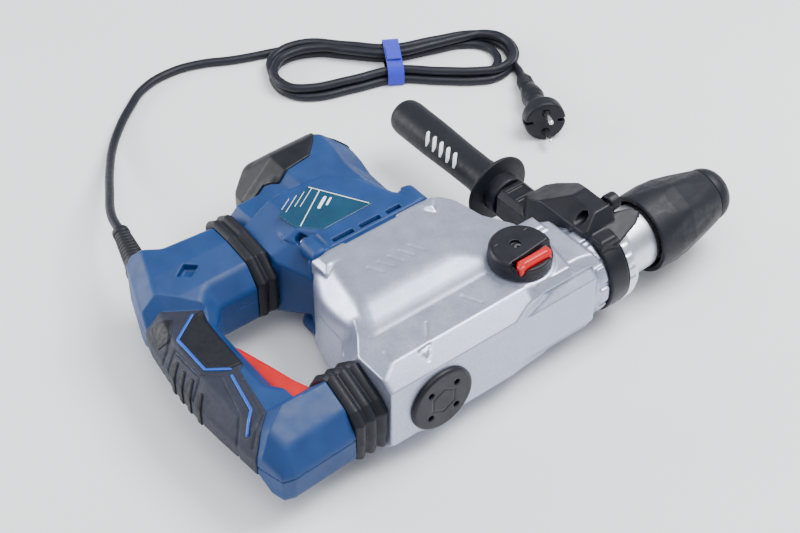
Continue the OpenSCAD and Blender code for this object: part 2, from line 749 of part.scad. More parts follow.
module handle_clamp() color([0.13, 0.14, 0.17]) seat() difference() {
    union() {
        along_x(band_x) cylinder(r = band_r, h = band_width);
        // saddle block between the collar and the neck
        hull() {
            slab(-66, -30, 20, 66, 14);
            translate([-64, 2, 20]) cube([36, 30, 20]);
            translate([-62, 0, 38]) cube([30, 14, 14]);
        }
        // leaf that shields the chuck side of the clamp
        hull() {
            translate([-60, -20, 34]) cube([14, 22, 6]);
            translate([-18, -13, 38]) cube([4, 4, 3]);
        }
        along_y(side_x, 40) cylinder(r = 15, h = 58);
        along_x(-30, rod_bore_y, rod_bore_z) cylinder(r = 7.5, h = 8);
    }
    along_x(-75) cylinder(r = collar_r + 0.5, h = 75);
    along_x(-42.9) cylinder(r = band_r + 0.5, h = 30);
    along_x(-90, rod_bore_y, rod_bore_z) cylinder(r = rod_bore_r, h = 90);
    along_y(side_x, 30) cylinder(r = 5, h = 80);
}

module clamp_bolt() color([0.6, 0.61, 0.63]) seat() {
    along_y(side_x, 41) cylinder(r = 4.9, h = 80);
}

module side_grip() color([0.13, 0.14, 0.17]) seat() difference() {
    union() {
        along_y(side_x, 98.3) cylinder(r = 18, h = 14);
        along_y(side_x, 111) cylinder(r = side_flange_r, h = 4);
        along_y(side_x, 114) cylinder(r1 = 19, r2 = side_grip_r - 1, h = 20);
        along_y(side_x, 133) cylinder(r1 = side_grip_r - 1, r2 = side_grip_r, h = 60);
        along_y(side_x, 192) cylinder(r = side_grip_r, h = side_grip_end - 198);
        along_y(side_x, side_grip_end - 7) cylinder(r1 = side_grip_r, r2 = 11, h = 7);
    }
    along_y(side_x, 90) cylinder(r = 5, h = 40);
}

gear_housing();
bearing_plate();
motor_housing();
motor_end_cap();
label_panel();
grease_cap();
barrel_sleeve();
collar_ring();
stator_core();
field_coils();
brush_holders();
carbon_brushes();
ball_bearings();
spindle_bearings();
motor_screws();
guide_rods();
top_bellows();
bottom_bellows();
damper_springs();
armature_shaft();
armature_core();
commutator();
cooling_fan();
crank_shaft();
crank_gear();
intermediate_shaft();
intermediate_gear();
bevel_pinion();
spindle_tube();
bevel_gear();
tool_holder();
locking_rollers();
chuck_spring();
chuck_cap();
chuck_sleeve();
piston();
wrist_pin();
connecting_rod();
striker();
beat_piece();
mode_selector();
selector_screw();
lock_button();
handle_upper_shell();
handle_lower_shell();
grip_overmould();
switch_module();
handle_screws();
trigger();
trigger_spring();
strain_relief();
power_cable();
cable_hank();
cable_tie();
plug_cable();
mains_plug();
plug_pins();
handle_clamp();
clamp_bolt();
side_grip();
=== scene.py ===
"""Looks of a corded rotary hammer lying on its side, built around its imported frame.

Shapes are given in millimetres in the barrel frame: x = 0 is the rear rim of the chuck
sleeve, y = z = 0 is the barrel axis, +Y runs along the motor, +Z through the mode selector.
Hard shells are signed distance fields, which the VDB library turns into meshes.
"""
import json
import math

import bmesh
import bpy
import numpy as np
import openvdb as vdb
from mathutils import Matrix, Vector

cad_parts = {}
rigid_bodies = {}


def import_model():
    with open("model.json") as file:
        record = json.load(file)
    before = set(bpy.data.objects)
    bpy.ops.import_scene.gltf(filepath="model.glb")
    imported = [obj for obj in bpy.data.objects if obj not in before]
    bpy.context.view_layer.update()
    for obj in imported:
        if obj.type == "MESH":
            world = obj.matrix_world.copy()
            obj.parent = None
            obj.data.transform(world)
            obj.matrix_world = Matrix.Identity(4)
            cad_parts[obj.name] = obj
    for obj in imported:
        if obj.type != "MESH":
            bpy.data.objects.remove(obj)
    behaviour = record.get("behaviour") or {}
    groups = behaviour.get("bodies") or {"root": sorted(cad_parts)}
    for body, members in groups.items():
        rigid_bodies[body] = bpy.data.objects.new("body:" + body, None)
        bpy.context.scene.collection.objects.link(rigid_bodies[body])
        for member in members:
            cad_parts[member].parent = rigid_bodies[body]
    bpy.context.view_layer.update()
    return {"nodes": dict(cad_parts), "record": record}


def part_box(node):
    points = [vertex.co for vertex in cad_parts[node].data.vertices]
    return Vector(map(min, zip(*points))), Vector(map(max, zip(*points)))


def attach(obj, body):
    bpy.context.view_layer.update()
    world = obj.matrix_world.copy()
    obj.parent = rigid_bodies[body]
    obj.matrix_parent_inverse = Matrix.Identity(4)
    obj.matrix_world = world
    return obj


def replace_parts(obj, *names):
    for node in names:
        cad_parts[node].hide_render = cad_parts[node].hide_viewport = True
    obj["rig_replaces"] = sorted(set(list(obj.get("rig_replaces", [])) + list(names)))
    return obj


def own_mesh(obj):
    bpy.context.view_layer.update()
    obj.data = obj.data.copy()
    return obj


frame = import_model()

MM = 0.001
# The tool holder lies on the barrel axis and starts this far behind the sleeve's rear rim
HOLDER_BACK = 60
holder_lo, holder_hi = [np.array(corner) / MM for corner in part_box("tool_holder")]
SEAT = (holder_lo + holder_hi) / 2
SEAT[0] = holder_lo[0] + HOLDER_BACK


def seated(points):
    """Points of the barrel frame, in millimetres, as metres of the model's frame."""
    return (np.asarray(points, dtype=float) + SEAT) * MM


# ---------- camera ----------

VIEW_TURN = -38.3
VIEW_DOWN = 43.5
CAMERA_AT = (-0.66702, -0.82751, 1.03285)
LENS = 81
FILM_WIDTH = 36
FARTHEST = 20


def add_camera():
    turn, down = math.radians(VIEW_TURN), math.radians(VIEW_DOWN)
    right = Vector((math.cos(turn), math.sin(turn), 0))
    back = Vector((math.sin(turn) * math.cos(down), -math.cos(turn) * math.cos(down), math.sin(down)))
    camera = bpy.data.objects.new("camera", bpy.data.cameras.new("camera"))
    camera.data.lens = LENS
    camera.data.sensor_width = FILM_WIDTH
    camera.data.clip_end = FARTHEST
    aim = Matrix((right, back.cross(right), back)).transposed().to_4x4()
    camera.matrix_world = Matrix.Translation(CAMERA_AT) @ aim
    bpy.context.collection.objects.link(camera)
    bpy.context.scene.camera = camera


add_camera()

# ---------- materials ----------


class Paint:
    """A Principled material with helpers for the nodes that vary it."""

    def __init__(self, name, roughness=0.5, metallic=0.0, **sockets):
        self.material = bpy.data.materials.new(name)
        self.material.use_nodes = True
        self.nodes = self.material.node_tree.nodes
        self.links = self.material.node_tree.links
        self.shader = self.nodes["Principled BSDF"]
        self.shader.inputs["Roughness"].default_value = roughness
        self.shader.inputs["Metallic"].default_value = metallic
        for socket, value in sockets.items():
            self.shader.inputs[socket.replace("_", " ")].default_value = value
        self.place = self.nodes.new("ShaderNodeTexCoord").outputs["Object"]
        self.normal = None

    def noise(self, scale, detail=3, stretch=(1, 1, 1)):
        place = self.nodes.new("ShaderNodeMapping")
        place.inputs["Scale"].default_value = stretch
        self.links.new(self.place, place.inputs["Vector"])
        noise = self.nodes.new("ShaderNodeTexNoise")
        noise.inputs["Scale"].default_value = scale
        noise.inputs["Detail"].default_value = detail
        self.links.new(place.outputs["Vector"], noise.inputs["Vector"])
        return noise.outputs["Fac"]

    def ramp(self, fac, low, high, start=0.3, end=0.7):
        ramp = self.nodes.new("ShaderNodeValToRGB")
        ramp.color_ramp.elements[0].position = start
        ramp.color_ramp.elements[1].position = end
        ramp.color_ramp.elements[0].color = (*low, 1)
        ramp.color_ramp.elements[1].color = (*high, 1)
        self.links.new(fac, ramp.inputs["Fac"])
        return ramp.outputs["Color"]

    def colour(self, fac, low, high, start=0.3, end=0.7):
        self.links.new(self.ramp(fac, low, high, start, end), self.shader.inputs["Base Color"])
        return self

    def rough(self, fac, low, high):
        grey = self.ramp(fac, (low,) * 3, (high,) * 3)
        self.links.new(grey, self.shader.inputs["Roughness"])
        return self

    def bump(self, fac, height, strength=0.6):
        bump = self.nodes.new("ShaderNodeBump")
        bump.inputs["Distance"].default_value = height
        bump.inputs["Strength"].default_value = strength
        self.links.new(fac, bump.inputs["Height"])
        if self.normal is not None:
            self.links.new(self.normal, bump.inputs["Normal"])
        self.normal = bump.outputs["Normal"]
        self.links.new(self.normal, self.shader.inputs["Normal"])
        return self


def tone(colour, factor):
    return tuple(min(1.0, c * factor) for c in colour)


def cast_paint(name, colour):
    """Silver lacquer over die-cast metal: a fine flake and a slight orange peel."""
    paint = Paint(name, metallic=0.8)
    paint.colour(paint.noise(900, 2), tone(colour, 0.86), tone(colour, 1.1))
    paint.rough(paint.noise(60), 0.30, 0.42)
    paint.bump(paint.noise(1500, 2), 0.00008, 0.5)
    return paint.bump(paint.noise(180, 2), 0.00012, 0.35).material


def moulded(name, colour, low=0.36, high=0.5, grain=1400, depth=0.0001, gloss=0.5):
    """Textured moulded plastic: spark-eroded grain and a faint cloud in its colour."""
    paint = Paint(name, Specular_IOR_Level=gloss)
    paint.colour(paint.noise(45), tone(colour, 0.88), tone(colour, 1.12))
    paint.rough(paint.noise(90), low, high)
    return paint.bump(paint.noise(grain, 2), depth, 0.55).material


def skin(name, colour, low=0.5, high=0.66):
    """Soft rubbery skin with a pebbled touch."""
    paint = Paint(name, Specular_IOR_Level=0.28)
    paint.colour(paint.noise(70), tone(colour, 0.85), tone(colour, 1.15))
    paint.rough(paint.noise(300), low, high)
    cells = paint.nodes.new("ShaderNodeTexVoronoi")
    cells.inputs["Scale"].default_value = 1100
    paint.links.new(paint.place, cells.inputs["Vector"])
    return paint.bump(cells.outputs["Distance"], 0.00012, 0.45).material


def metal(name, colour, low=0.2, high=0.38, stretch=(1, 1, 1)):
    """Turned, ground or plated metal; the stretch gives the direction of its tool marks."""
    scale = 700
    paint = Paint(name, metallic=1.0)
    paint.colour(paint.noise(80), tone(colour, 0.88), tone(colour, 1.06))
    paint.rough(paint.noise(scale, 3, stretch), low, high)
    return paint.bump(paint.noise(scale, 2, stretch), 0.00003, 0.4).material


def laminated(name, colour):
    """Stacked sheets: fine lines across the motor axis."""
    paint = Paint(name, metallic=0.8, roughness=0.45)
    wave = paint.nodes.new("ShaderNodeTexWave")
    wave.bands_direction = "Y"
    wave.inputs["Scale"].default_value = 320
    paint.links.new(paint.place, wave.inputs["Vector"])
    paint.colour(wave.outputs["Fac"], tone(colour, 0.6), colour)
    return paint.bump(wave.outputs["Fac"], 0.0001).material


def woven(name, colour):
    """Hook-and-loop tape: two crossed sets of threads under a little fuzz."""
    paint = Paint(name, roughness=0.85, Sheen_Weight=0.3)
    threads = []
    for direction in "XY":
        wave = paint.nodes.new("ShaderNodeTexWave")
        wave.bands_direction = direction
        wave.inputs["Scale"].default_value = 260
        wave.inputs["Distortion"].default_value = 1.5
        paint.links.new(paint.place, wave.inputs["Vector"])
        threads.append(wave.outputs["Fac"])
    paint.colour(paint.noise(1500), tone(colour, 0.7), tone(colour, 1.25))
    return paint.bump(threads[0], 0.0002, 0.5).bump(threads[1], 0.0002, 0.5).material


SILVER = (0.44, 0.48, 0.61)
BLUE = (0.003, 0.035, 0.142)
DARK = (0.006, 0.0065, 0.011)
SLATE = (0.018, 0.021, 0.036)

FINISH = {name: make(name, *values) for name, make, *values in [
    ("cast_casing", cast_paint, SILVER),
    ("flange", cast_paint, tone(SILVER, 0.85)),
    ("blue_shell", moulded, BLUE, 0.44, 0.58, 1400, 0.0001, 0.4),
    ("dark_plastic", moulded, DARK, 0.36, 0.5, 1400, 0.0001, 0.3),
    ("label", moulded, (0.002, 0.040, 0.085), 0.24, 0.32, 400, 0.00002),
    ("red_plastic", moulded, (0.50, 0.004, 0.006), 0.3, 0.4, 900, 0.00005),
    ("carbon", moulded, (0.05, 0.05, 0.052), 0.5, 0.65),
    ("soft_rubber", skin, (0.008, 0.009, 0.014), 0.42, 0.56),
    ("grip_skin", skin, SLATE),
    ("cable_rubber", skin, (0.010, 0.011, 0.018), 0.4, 0.55),
    ("machined_steel", metal, (0.56, 0.57, 0.60), 0.22, 0.4, (8, 1, 1)),
    ("plated_sleeve", metal, (0.74, 0.78, 0.86), 0.3, 0.42, (9, 1, 1)),
    ("copper_winding", metal, (0.72, 0.36, 0.16), 0.3, 0.45, (1, 9, 1)),
    ("brush_brass", metal, (0.76, 0.58, 0.26), 0.25, 0.4),
    ("screw_steel", metal, (0.16, 0.165, 0.18), 0.3, 0.44),
    ("pin_nickel", metal, (0.8, 0.8, 0.8), 0.16, 0.28),
    ("laminated_core", laminated, (0.36, 0.37, 0.39)),
    ("hook_loop", woven, (0.012, 0.022, 0.50)),
]}
ACCENT = moulded("accent_blue", (0.006, 0.075, 0.42), 0.34, 0.44)
PAD = skin("grip_pad", (0.006, 0.007, 0.011), 0.42, 0.6)
PRINT = moulded("print_white", (0.8, 0.84, 0.86), 0.4, 0.5, 500, 0.00002)

# ---------- pieces ----------


def add_piece(name, mesh, slot, body, replaces=(), material=None):
    """Links a mesh or curve, gives it its finish and seats it on a body."""
    piece = bpy.data.objects.new(name, mesh)
    bpy.context.collection.objects.link(piece)
    mesh.materials.append(material or FINISH[slot])
    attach(piece, body)
    if replaces:
        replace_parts(piece, *replaces)
    return piece


def mesh_from(name, points, faces, smooth=True):
    mesh = bpy.data.meshes.new(name)
    mesh.from_pydata([tuple(p) for p in points], [], [tuple(f) for f in faces])
    mesh.validate()
    if smooth:
        mesh.shade_smooth()
    return mesh


def face_outwards(mesh, crease=None):
    """Turns every face outwards and, where a crease angle is given, marks sharper edges as sharp."""
    work = bmesh.new()
    work.from_mesh(mesh)
    bmesh.ops.recalc_face_normals(work, faces=work.faces)
    if crease is not None:
        for edge in work.edges:
            if len(edge.link_faces) == 2 and edge.calc_face_angle(0) > math.radians(crease):
                edge.smooth = False
    work.to_mesh(mesh)
    work.free()
    return mesh


# ---------- distance fields ----------
# A shape is a function of x, y, z that gives a distance, negative inside.


def soft_max(a, b, k):
    return np.maximum(a, b) + np.maximum(k - np.abs(a - b), 0) ** 2 / (4 * k)


def soft_min(a, b, k):
    return -soft_max(-a, -b, k)


def merged(join, shapes, k):
    """The first shape joined with each of the others in turn."""
    def shape(x, y, z):
        d = shapes[0](x, y, z)
        for other in shapes[1:]:
            d = join(d, other(x, y, z), k)
        return d
    return shape


def union(*shapes, k=1.0):
    return merged(soft_min, shapes, k)


def common(*shapes, k=1.0):
    return merged(soft_max, shapes, k)


def cut(body, *tools, k=0.8):
    return merged(lambda d, tool, ease: soft_max(d, -tool, ease), (body, *tools), k)


def grown(body, amount):
    return lambda x, y, z: body(x, y, z) - amount


def mirrored(body):
    """The same shape above and below the barrel's plane."""
    return lambda x, y, z: body(x, y, np.abs(z))


def facet(normal, point):
    """Everything behind a plane."""
    n = np.array(normal, dtype=float)
    n /= np.linalg.norm(n)
    offset = float(n @ np.array(point, dtype=float))
    return lambda x, y, z: n[0] * x + n[1] * y + n[2] * z - offset


def outline_distance(u, v, outline):
    """Signed distance to a polygon, for arrays of coordinates in its plane."""
    nearest = np.float32(1e12)
    inside = np.zeros(np.broadcast(u, v).shape, dtype=bool)
    for (u0, v0), (u1, v1) in zip(outline, outline[1:] + outline[:1]):
        du, dv = u1 - u0, v1 - v0
        along = np.clip(((u - u0) * du + (v - v0) * dv) / (du * du + dv * dv), 0, 1)
        nearest = np.minimum(nearest, (u - u0 - along * du) ** 2 + (v - v0 - along * dv) ** 2)
        if dv:
            crosses = ((v0 > v) != (v1 > v)) & (u < u0 + (v - v0) * du / dv)
            inside ^= crosses
    return np.where(inside, -1, 1) * np.sqrt(nearest)


# Share of two equal distances that crosses the edge between them at 45 degrees
DIAGONAL = 0.7071


def bevelled(a, b, size, k):
    """Where two distances meet at an edge: a flat chamfer of this size, its own edges eased."""
    d = soft_max(a, b, k)
    return soft_max(d, (a + b + size) * math.sqrt(0.5), k) if size else d


def by_axis(axis, x, y, z):
    """The two coordinates across an axis, then the one along it."""
    return {"x": (y, z, x), "y": (x, z, y), "z": (x, y, z)}[axis]


def prism(axis, outline, lo, hi, size=0.0, k=1.0):
    """An outline drawn in the plane across an axis, run along it from lo to hi.
    Across x the outline is (y, z), across y it is (x, z) and across z it is (x, y)."""
    def shape(x, y, z):
        u, v, w = by_axis(axis, x, y, z)
        across = outline_distance(u, v, outline)
        along = np.abs(w - (lo + hi) / 2) - (hi - lo) / 2
        return bevelled(across, along, size, k)
    return shape


def cylinder(axis, centre, radius, lo, hi, size=0.0, k=0.8):
    def shape(x, y, z):
        u, v, w = by_axis(axis, x, y, z)
        across = np.sqrt((u - centre[0]) ** 2 + (v - centre[1]) ** 2) - radius
        along = np.abs(w - (lo + hi) / 2) - (hi - lo) / 2
        return bevelled(across, along, size, k)
    return shape


def block(x0, x1, y0, y1, z0, z1, size=0.0, k=1.0):
    return prism("z", [(x0, y0), (x1, y0), (x1, y1), (x0, y1)], z0, z1, size, k)


def rod(a, b, radius):
    """A round-ended bar between two points."""
    a, b = np.array(a, dtype=float), np.array(b, dtype=float)
    run = b - a
    def shape(x, y, z):
        t = ((x - a[0]) * run[0] + (y - a[1]) * run[1] + (z - a[2]) * run[2]) / (run @ run)
        t = np.clip(t, 0, 1)
        return np.sqrt((x - a[0] - t * run[0]) ** 2 + (y - a[1] - t * run[1]) ** 2
                       + (z - a[2] - t * run[2]) ** 2) - radius
    return shape


def cut_corners(half, lo, hi, corner):
    """A rectangle with cut corners: lo to hi in its first direction, centred in its second."""
    return [(lo + corner, -half), (hi - corner, -half), (hi, -half + corner), (hi, half - corner),
            (hi - corner, half), (lo + corner, half), (lo, half - corner), (lo, -half + corner)]


def field_mesh(name, shape, lo, hi, step):
    """The surface of a shape inside a box, as a mesh in the model's frame."""
    axes = [np.arange(a, b + step, step, dtype=np.float32) for a, b in zip(lo, hi)]
    values = shape(*np.meshgrid(*axes, indexing="ij", sparse=True)) / step
    grid = vdb.FloatGrid()
    grid.background = 4.0
    grid.copyFromArray(np.ascontiguousarray(np.clip(values, -4, 4), dtype=np.float32))
    points, triangles, quads = grid.convertToPolygons(isovalue=0.0, adaptivity=0.0)
    faces = [tuple(int(i) for i in f) for f in triangles] + [tuple(int(i) for i in f) for f in quads]
    return mesh_from(name, seated(np.asarray(points) * step + np.array(lo)), faces)


def field_piece(name, shape, lo, hi, step, slot, body, nodes=(), material=None):
    """A piece whose surface is that of a shape."""
    return add_piece(name, field_mesh(name, shape, lo, hi, step), slot, body, nodes, material)


def height_of(shape, x, y, top=55.0):
    """Height at which a shape's upper surface lies over a point of its plan."""
    lo, hi = 0.0, top
    for _ in range(24):
        middle = (lo + hi) / 2
        here = [np.array([[[v]]]) for v in (x, y, middle)]
        lo, hi = (middle, hi) if shape(*here).item() < 0 else (lo, middle)
    return lo


# ---------- cord ----------

CABLE_D = 8
RELIEF_FOOT = np.array((-337.0, 214.0, 0.0))
RELIEF_TIP = np.array((-325.0, 262.0, 0.0))
# The cable's route from the strain relief to the hank, then from the hank to the plug, in the
# model's frame and in millimetres, on the route that the part's source has
CABLE_ROUTE = [(-170, 184, 44), (-148, 226, 31), (-126, 264, 18), (-104, 297, 9), (-82, 322, 5),
               (-60, 341, 4), (-32, 359, 4), (0, 364, 4), (28, 358, 4), (56, 344, 4)]
LEAD_ROUTE = [(262, 176, 4), (256, 162, 6), (250, 150, 8)]
PLUG_FROM = np.array((250.0, 150.0, 8.0))
PLUG_FACE = np.array((214.0, 78.0, 19.0))
LOBES = [(102, 284), (236, 203)]
WAIST = (170, 243)
# Each turn of the hank: radius in the left lobe, in the right lobe, half gap at the waist,
# height, and how far its left lobe lies along the hank
TURNS = [(38, 33, 21, 4, -3), (29, 25, 12.8, 4, 4), (34.5, 29, 17, 12.1, -11), (26, 24.5, 9, 12.1, 9)]


def hank_frame():
    """The hank's two lobes, the direction from one to the other, and the direction across it."""
    left, right = (np.array(lobe, dtype=float) for lobe in LOBES)
    along = (right - left) / np.linalg.norm(right - left)
    return left, right, along, np.array((-along[1], along[0]))


def hank_points():
    """Centreline of the tied hank: three and a half turns side by side and on each other, then out."""
    left, right, along, across = hank_frame()
    points = []

    def put(centre, u, v, z):
        place = np.array(centre) + u * along + v * across
        points.append((place[0], place[1], z))

    for turn, (big, small, gap, z, shift) in enumerate(TURNS):
        last = turn == len(TURNS) - 1
        nxt = TURNS[min(turn + 1, len(TURNS) - 1)]
        put(left, 6 + shift, big, z)
        put(left, 38, (big + gap) / 2 + 1, z)
        put(WAIST, 0, gap, z)
        put(right, -36, (small + gap) / 2 + 1, z)
        put(right, -4 - shift * 0.7, small, z)
        if last:
            break
        for angle in (48, 10, -28, -66, -100):
            a = math.radians(angle)
            put(right, small * math.cos(a) - shift * 0.7, small * math.sin(a), z)
        put(right, -36, -(small + gap) / 2 - 1, z)
        put(WAIST, 0, -gap, z)
        put(left, 38, -(big + gap) / 2 - 1, z)
        for angle in (-84, -118, -152, 174, 140):
            a = math.radians(angle)
            share = (-84 - (angle if angle < 0 else angle - 360)) / 200
            radius = big + (nxt[0] - big) * share
            put(left, radius * math.cos(a) + shift + (nxt[4] - shift) * share, radius * math.sin(a),
                z + (nxt[3] - z) * share)
    # the end comes down outside the right lobe and heads for the plug
    for u, v, z in [(17, 28, 12.1), (32, 18, 12), (39.5, 3, 8)]:
        put(right, u, v, z)
    return points


def add_cord():
    route = [tuple(seated(RELIEF_TIP) / MM)] + CABLE_ROUTE + hank_points() + LEAD_ROUTE
    curve = bpy.data.curves.new("power_cord", "CURVE")
    curve.dimensions = "3D"
    spline = curve.splines.new("BEZIER")
    spline.bezier_points.add(len(route) - 1)
    for point, place in zip(spline.bezier_points, route):
        point.co = Vector(place) * MM
        point.handle_left_type = point.handle_right_type = "AUTO"
    curve.bevel_depth = CABLE_D / 2 * MM
    curve.bevel_resolution = 5
    curve.resolution_u = 8
    curve.use_fill_caps = True
    return add_piece("power_cord", curve, "cable_rubber", "rear_handle",
                     ["power_cable", "cable_hank", "plug_cable"])


def lathe_mesh(name, profile, frame_at, sides=64, ripple=None, closed=False):
    """Turns a profile of (distance along, radius) in millimetres about a line.
    frame_at is (start, along, side, up): a point in metres and three directions a millimetre long."""
    start, along, side, up = (np.array(v, dtype=float) for v in frame_at)
    angles = np.arange(sides) * 2 * math.pi / sides
    points = []
    for distance, radius in profile:
        r = radius + (ripple(distance, angles) if ripple else 0)
        ring = (start + along * distance + np.outer(np.cos(angles) * r, side)
                + np.outer(np.sin(angles) * r, up))
        points.extend(ring)
    rows = len(profile)
    faces = []
    for i in range(rows if closed else rows - 1):
        j = (i + 1) % rows
        for k in range(sides):
            n = (k + 1) % sides
            faces.append((i * sides + k, j * sides + k, j * sides + n, i * sides + n))
    if not closed:
        faces.append(tuple(range(sides)))
        faces.append(tuple((rows - 1) * sides + k for k in reversed(range(sides))))
    return face_outwards(mesh_from(name, points, faces), 38)


def line_frame(a, b, up=(0, 0, 1)):
    """Start, direction, side and up of a line, for lathe_mesh."""
    along = (b - a) / np.linalg.norm(b - a)
    side = np.cross(along, up)
    side /= np.linalg.norm(side)
    return a, along, side, np.cross(side, along)


def rounded(profile, ease=0.8, steps=3):
    """The same profile with each inner corner eased by a short arc."""
    result = [profile[0]]
    for before, here, after in zip(profile, profile[1:], profile[2:]):
        before, here, after = (np.array(p, dtype=float) for p in (before, here, after))
        reach = min(ease, np.linalg.norm(here - before) / 2.1, np.linalg.norm(after - here) / 2.1)
        a = here + (before - here) / np.linalg.norm(before - here) * reach
        b = here + (after - here) / np.linalg.norm(after - here) * reach
        for i in range(steps + 1):
            t = i / steps
            result.append(tuple((1 - t) ** 2 * a + 2 * t * (1 - t) * here + t * t * b))
    return result + [profile[-1]]


def strain_relief():
    """Ribbed rubber sleeve that keeps the cable from kinking."""
    length = np.linalg.norm(RELIEF_TIP - RELIEF_FOOT)
    profile = [(-6, 6), (-6, 11.5), (0, 11.5), (1.5, 10.4), (8, 9.8)]
    ribs = 9
    pitch = (length - 14) / ribs
    for i in range(ribs):
        at = 8 + i * pitch
        crest = 9.6 - 2.6 * i / ribs
        profile += [(at + 0.1 * pitch, crest), (at + 0.55 * pitch, crest - 0.15),
                    (at + 0.65 * pitch, crest - 0.8), (at + 0.95 * pitch, crest - 0.8)]
    profile += [(length - 6, 6.9), (length - 5, 7.4), (length - 1, 7.2), (length, 6.6), (length, 3.9)]
    foot, along, side, up = line_frame(RELIEF_FOOT, RELIEF_TIP)
    at = (seated(foot), along * MM, side * MM, up * MM)
    mesh = lathe_mesh("strain_relief_sleeve", rounded(profile, 0.4, 2), at, 40)
    return add_piece("strain_relief_sleeve", mesh, "soft_rubber", "rear_handle", ["strain_relief"])


def cord_tie():
    """Flat strap round the hank's waist, with its end lapped over."""
    _, _, along, across = hank_frame()
    half, top, thick, width = 26.2, 17.4, 1.3, 15

    def placed(shift, v, z):
        place = np.array(WAIST) + shift * along + v * across
        return (place[0] * MM, place[1] * MM, z * MM)

    outline = []
    for v, z, radius, start in [(half - 7, top - 7, 7, 0), (7 - half, top - 7, 7, 90),
                                (4 - half, 4.4, 4, 180), (half - 4, 4.4, 4, 270)]:
        for i in range(7):
            a = math.radians(start + i * 15)
            outline.append((v + radius * math.cos(a), z + radius * math.sin(a)))
    outline = [(v, z + (math.cos(v / half * 2.2) if z > 9 else 0)) for v, z in outline]
    points = [placed(shift, v * (1 + grow / half), max(z, 0.3) + (grow if z > 4 else 0))
              for shift in (-width / 2, width / 2) for grow in (0, thick) for v, z in outline]
    n = len(outline)
    faces = []
    for i in range(n):
        j = (i + 1) % n
        faces += [(i, j, n + j, n + i), (2 * n + i, 3 * n + i, 3 * n + j, 2 * n + j),
                  (n + i, n + j, 3 * n + j, 3 * n + i), (i, 2 * n + i, 2 * n + j, j)]
    base = len(points)
    points += [placed(shift, v, top + z) for shift in (1 - width / 2, width / 2 - 1)
               for v, z in ((-12, 2.6), (9, 2.9), (9, 4.1), (-12, 3.9))]
    faces += [tuple(base + i for i in f) for f in
              [(0, 1, 2, 3), (7, 6, 5, 4), (0, 4, 5, 1), (1, 5, 6, 2), (2, 6, 7, 3), (3, 7, 4, 0)]]
    mesh = face_outwards(mesh_from("cord_tie", points, faces, smooth=False))
    tie = add_piece("cord_tie", mesh, "hook_loop", "rear_handle", ["cable_tie"])
    edge = tie.modifiers.new("eased edges", "BEVEL")
    edge.width = 0.4 * MM
    edge.segments = 2
    return tie


def plug_field():
    """Field of the plug in its own frame: x along its axis, z up across the pins."""
    face = float(np.linalg.norm(PLUG_FACE - PLUG_FROM))
    at = [0, 3, 8, 22, 30, 38, 48, 60, face - 14, face]
    radii = [5.2, 6.2, 7.6, 7.6, 9.6, 10.6, 8.6, 11, 17, 17]

    def neck(x, y, z):
        return (np.sqrt(y * y + z * z) - np.interp(x, at, radii)) * 0.9

    grooves = [cylinder("x", (0, 0), 40, start, start + 1.6) for start in (9, 13, 17)]
    core = cylinder("x", (0, 0), 6.2, 0, face)
    boot = cut(common(neck, cylinder("x", (0, 0), 40, 0, 58)), *[cut(g, core) for g in grooves])
    head = cylinder("x", (0, 0), 18.5, face - 13, face, 1.4)
    taper = common(neck, cylinder("x", (0, 0), 40, 44, face))
    body = union(boot, union(taper, head, k=4), k=2)
    slots = [block(face - 7, face + 3, y - 7.5, y + 7.5, -1.6, 1.6) for y in (-18.5, 18.5)]
    wells = [cylinder("x", (0, side * 9.5), 3.4, face - 0.8, face + 5) for side in (-1, 1)]
    return cut(body, *slots, *wells), face


def plug():
    """Round moulded plug with a ribbed boot, two edge notches and two round pins."""
    body, face = plug_field()
    mesh = field_mesh("mains_plug_body", body, (-1, -20, -20), (face + 1, 20, 20), 0.7)
    _, along, side, up = line_frame(PLUG_FROM, PLUG_FACE)
    turn = np.array((along, side, up)).T
    local = np.array([v.co for v in mesh.vertices]) / MM - SEAT
    placed = (PLUG_FROM + local @ turn.T) * MM
    mesh.vertices.foreach_set("co", placed.ravel())
    mesh.flip_normals()
    mesh.update()
    moulding = add_piece("mains_plug_body", mesh, "soft_rubber", "rear_handle", ["mains_plug"])
    pins = []
    for name, offset in (("pin_upper", 9.5), ("pin_lower", -9.5)):
        profile = rounded([(-3, 0.6), (-3, 2.4), (14, 2.4), (18.4, 2.1), (19.8, 0.6)], 0.5, 3)
        at = ((PLUG_FACE + up * offset) * MM, along * MM, side * MM, up * MM)
        pins.append(add_piece(name, lathe_mesh(name, profile, at, 28), "pin_nickel", "rear_handle",
                              ["plug_pins"] if offset > 0 else ()))
    return [moulding] + pins


cord = add_cord()
on_cord = [strain_relief(), cord_tie()] + plug()

# ---------- lines and flat places ----------


def stroke(points, width):
    """A line of this width in plan, at every height."""
    def shape(x, y, z):
        nearest = np.float32(1e12)
        for (x0, y0), (x1, y1) in zip(points, points[1:]):
            dx, dy = x1 - x0, y1 - y0
            t = np.clip(((x - x0) * dx + (y - y0) * dy) / (dx * dx + dy * dy), 0, 1)
            nearest = np.minimum(nearest, (x - x0 - t * dx) ** 2 + (y - y0 - t * dy) ** 2)
        return np.sqrt(nearest) - width / 2
    return shape


def strokes(lines, width):
    """Several lines of one width, at every height."""
    def shape(x, y, z):
        d = np.float32(1e6)
        for line in lines:
            d = np.minimum(d, stroke(line, width)(x, y, z))
        return d
    return shape


def engraved(body, lines, width, depth, k=0.4):
    """A body with lines sunk this deep into its upper surface."""
    pen = strokes(lines, width)

    def shape(x, y, z):
        d = body(x, y, z)
        tool = np.maximum(np.maximum(pen(x, y, z), -(d + depth)), 5 - z)
        return soft_max(d, -tool, k)
    return shape


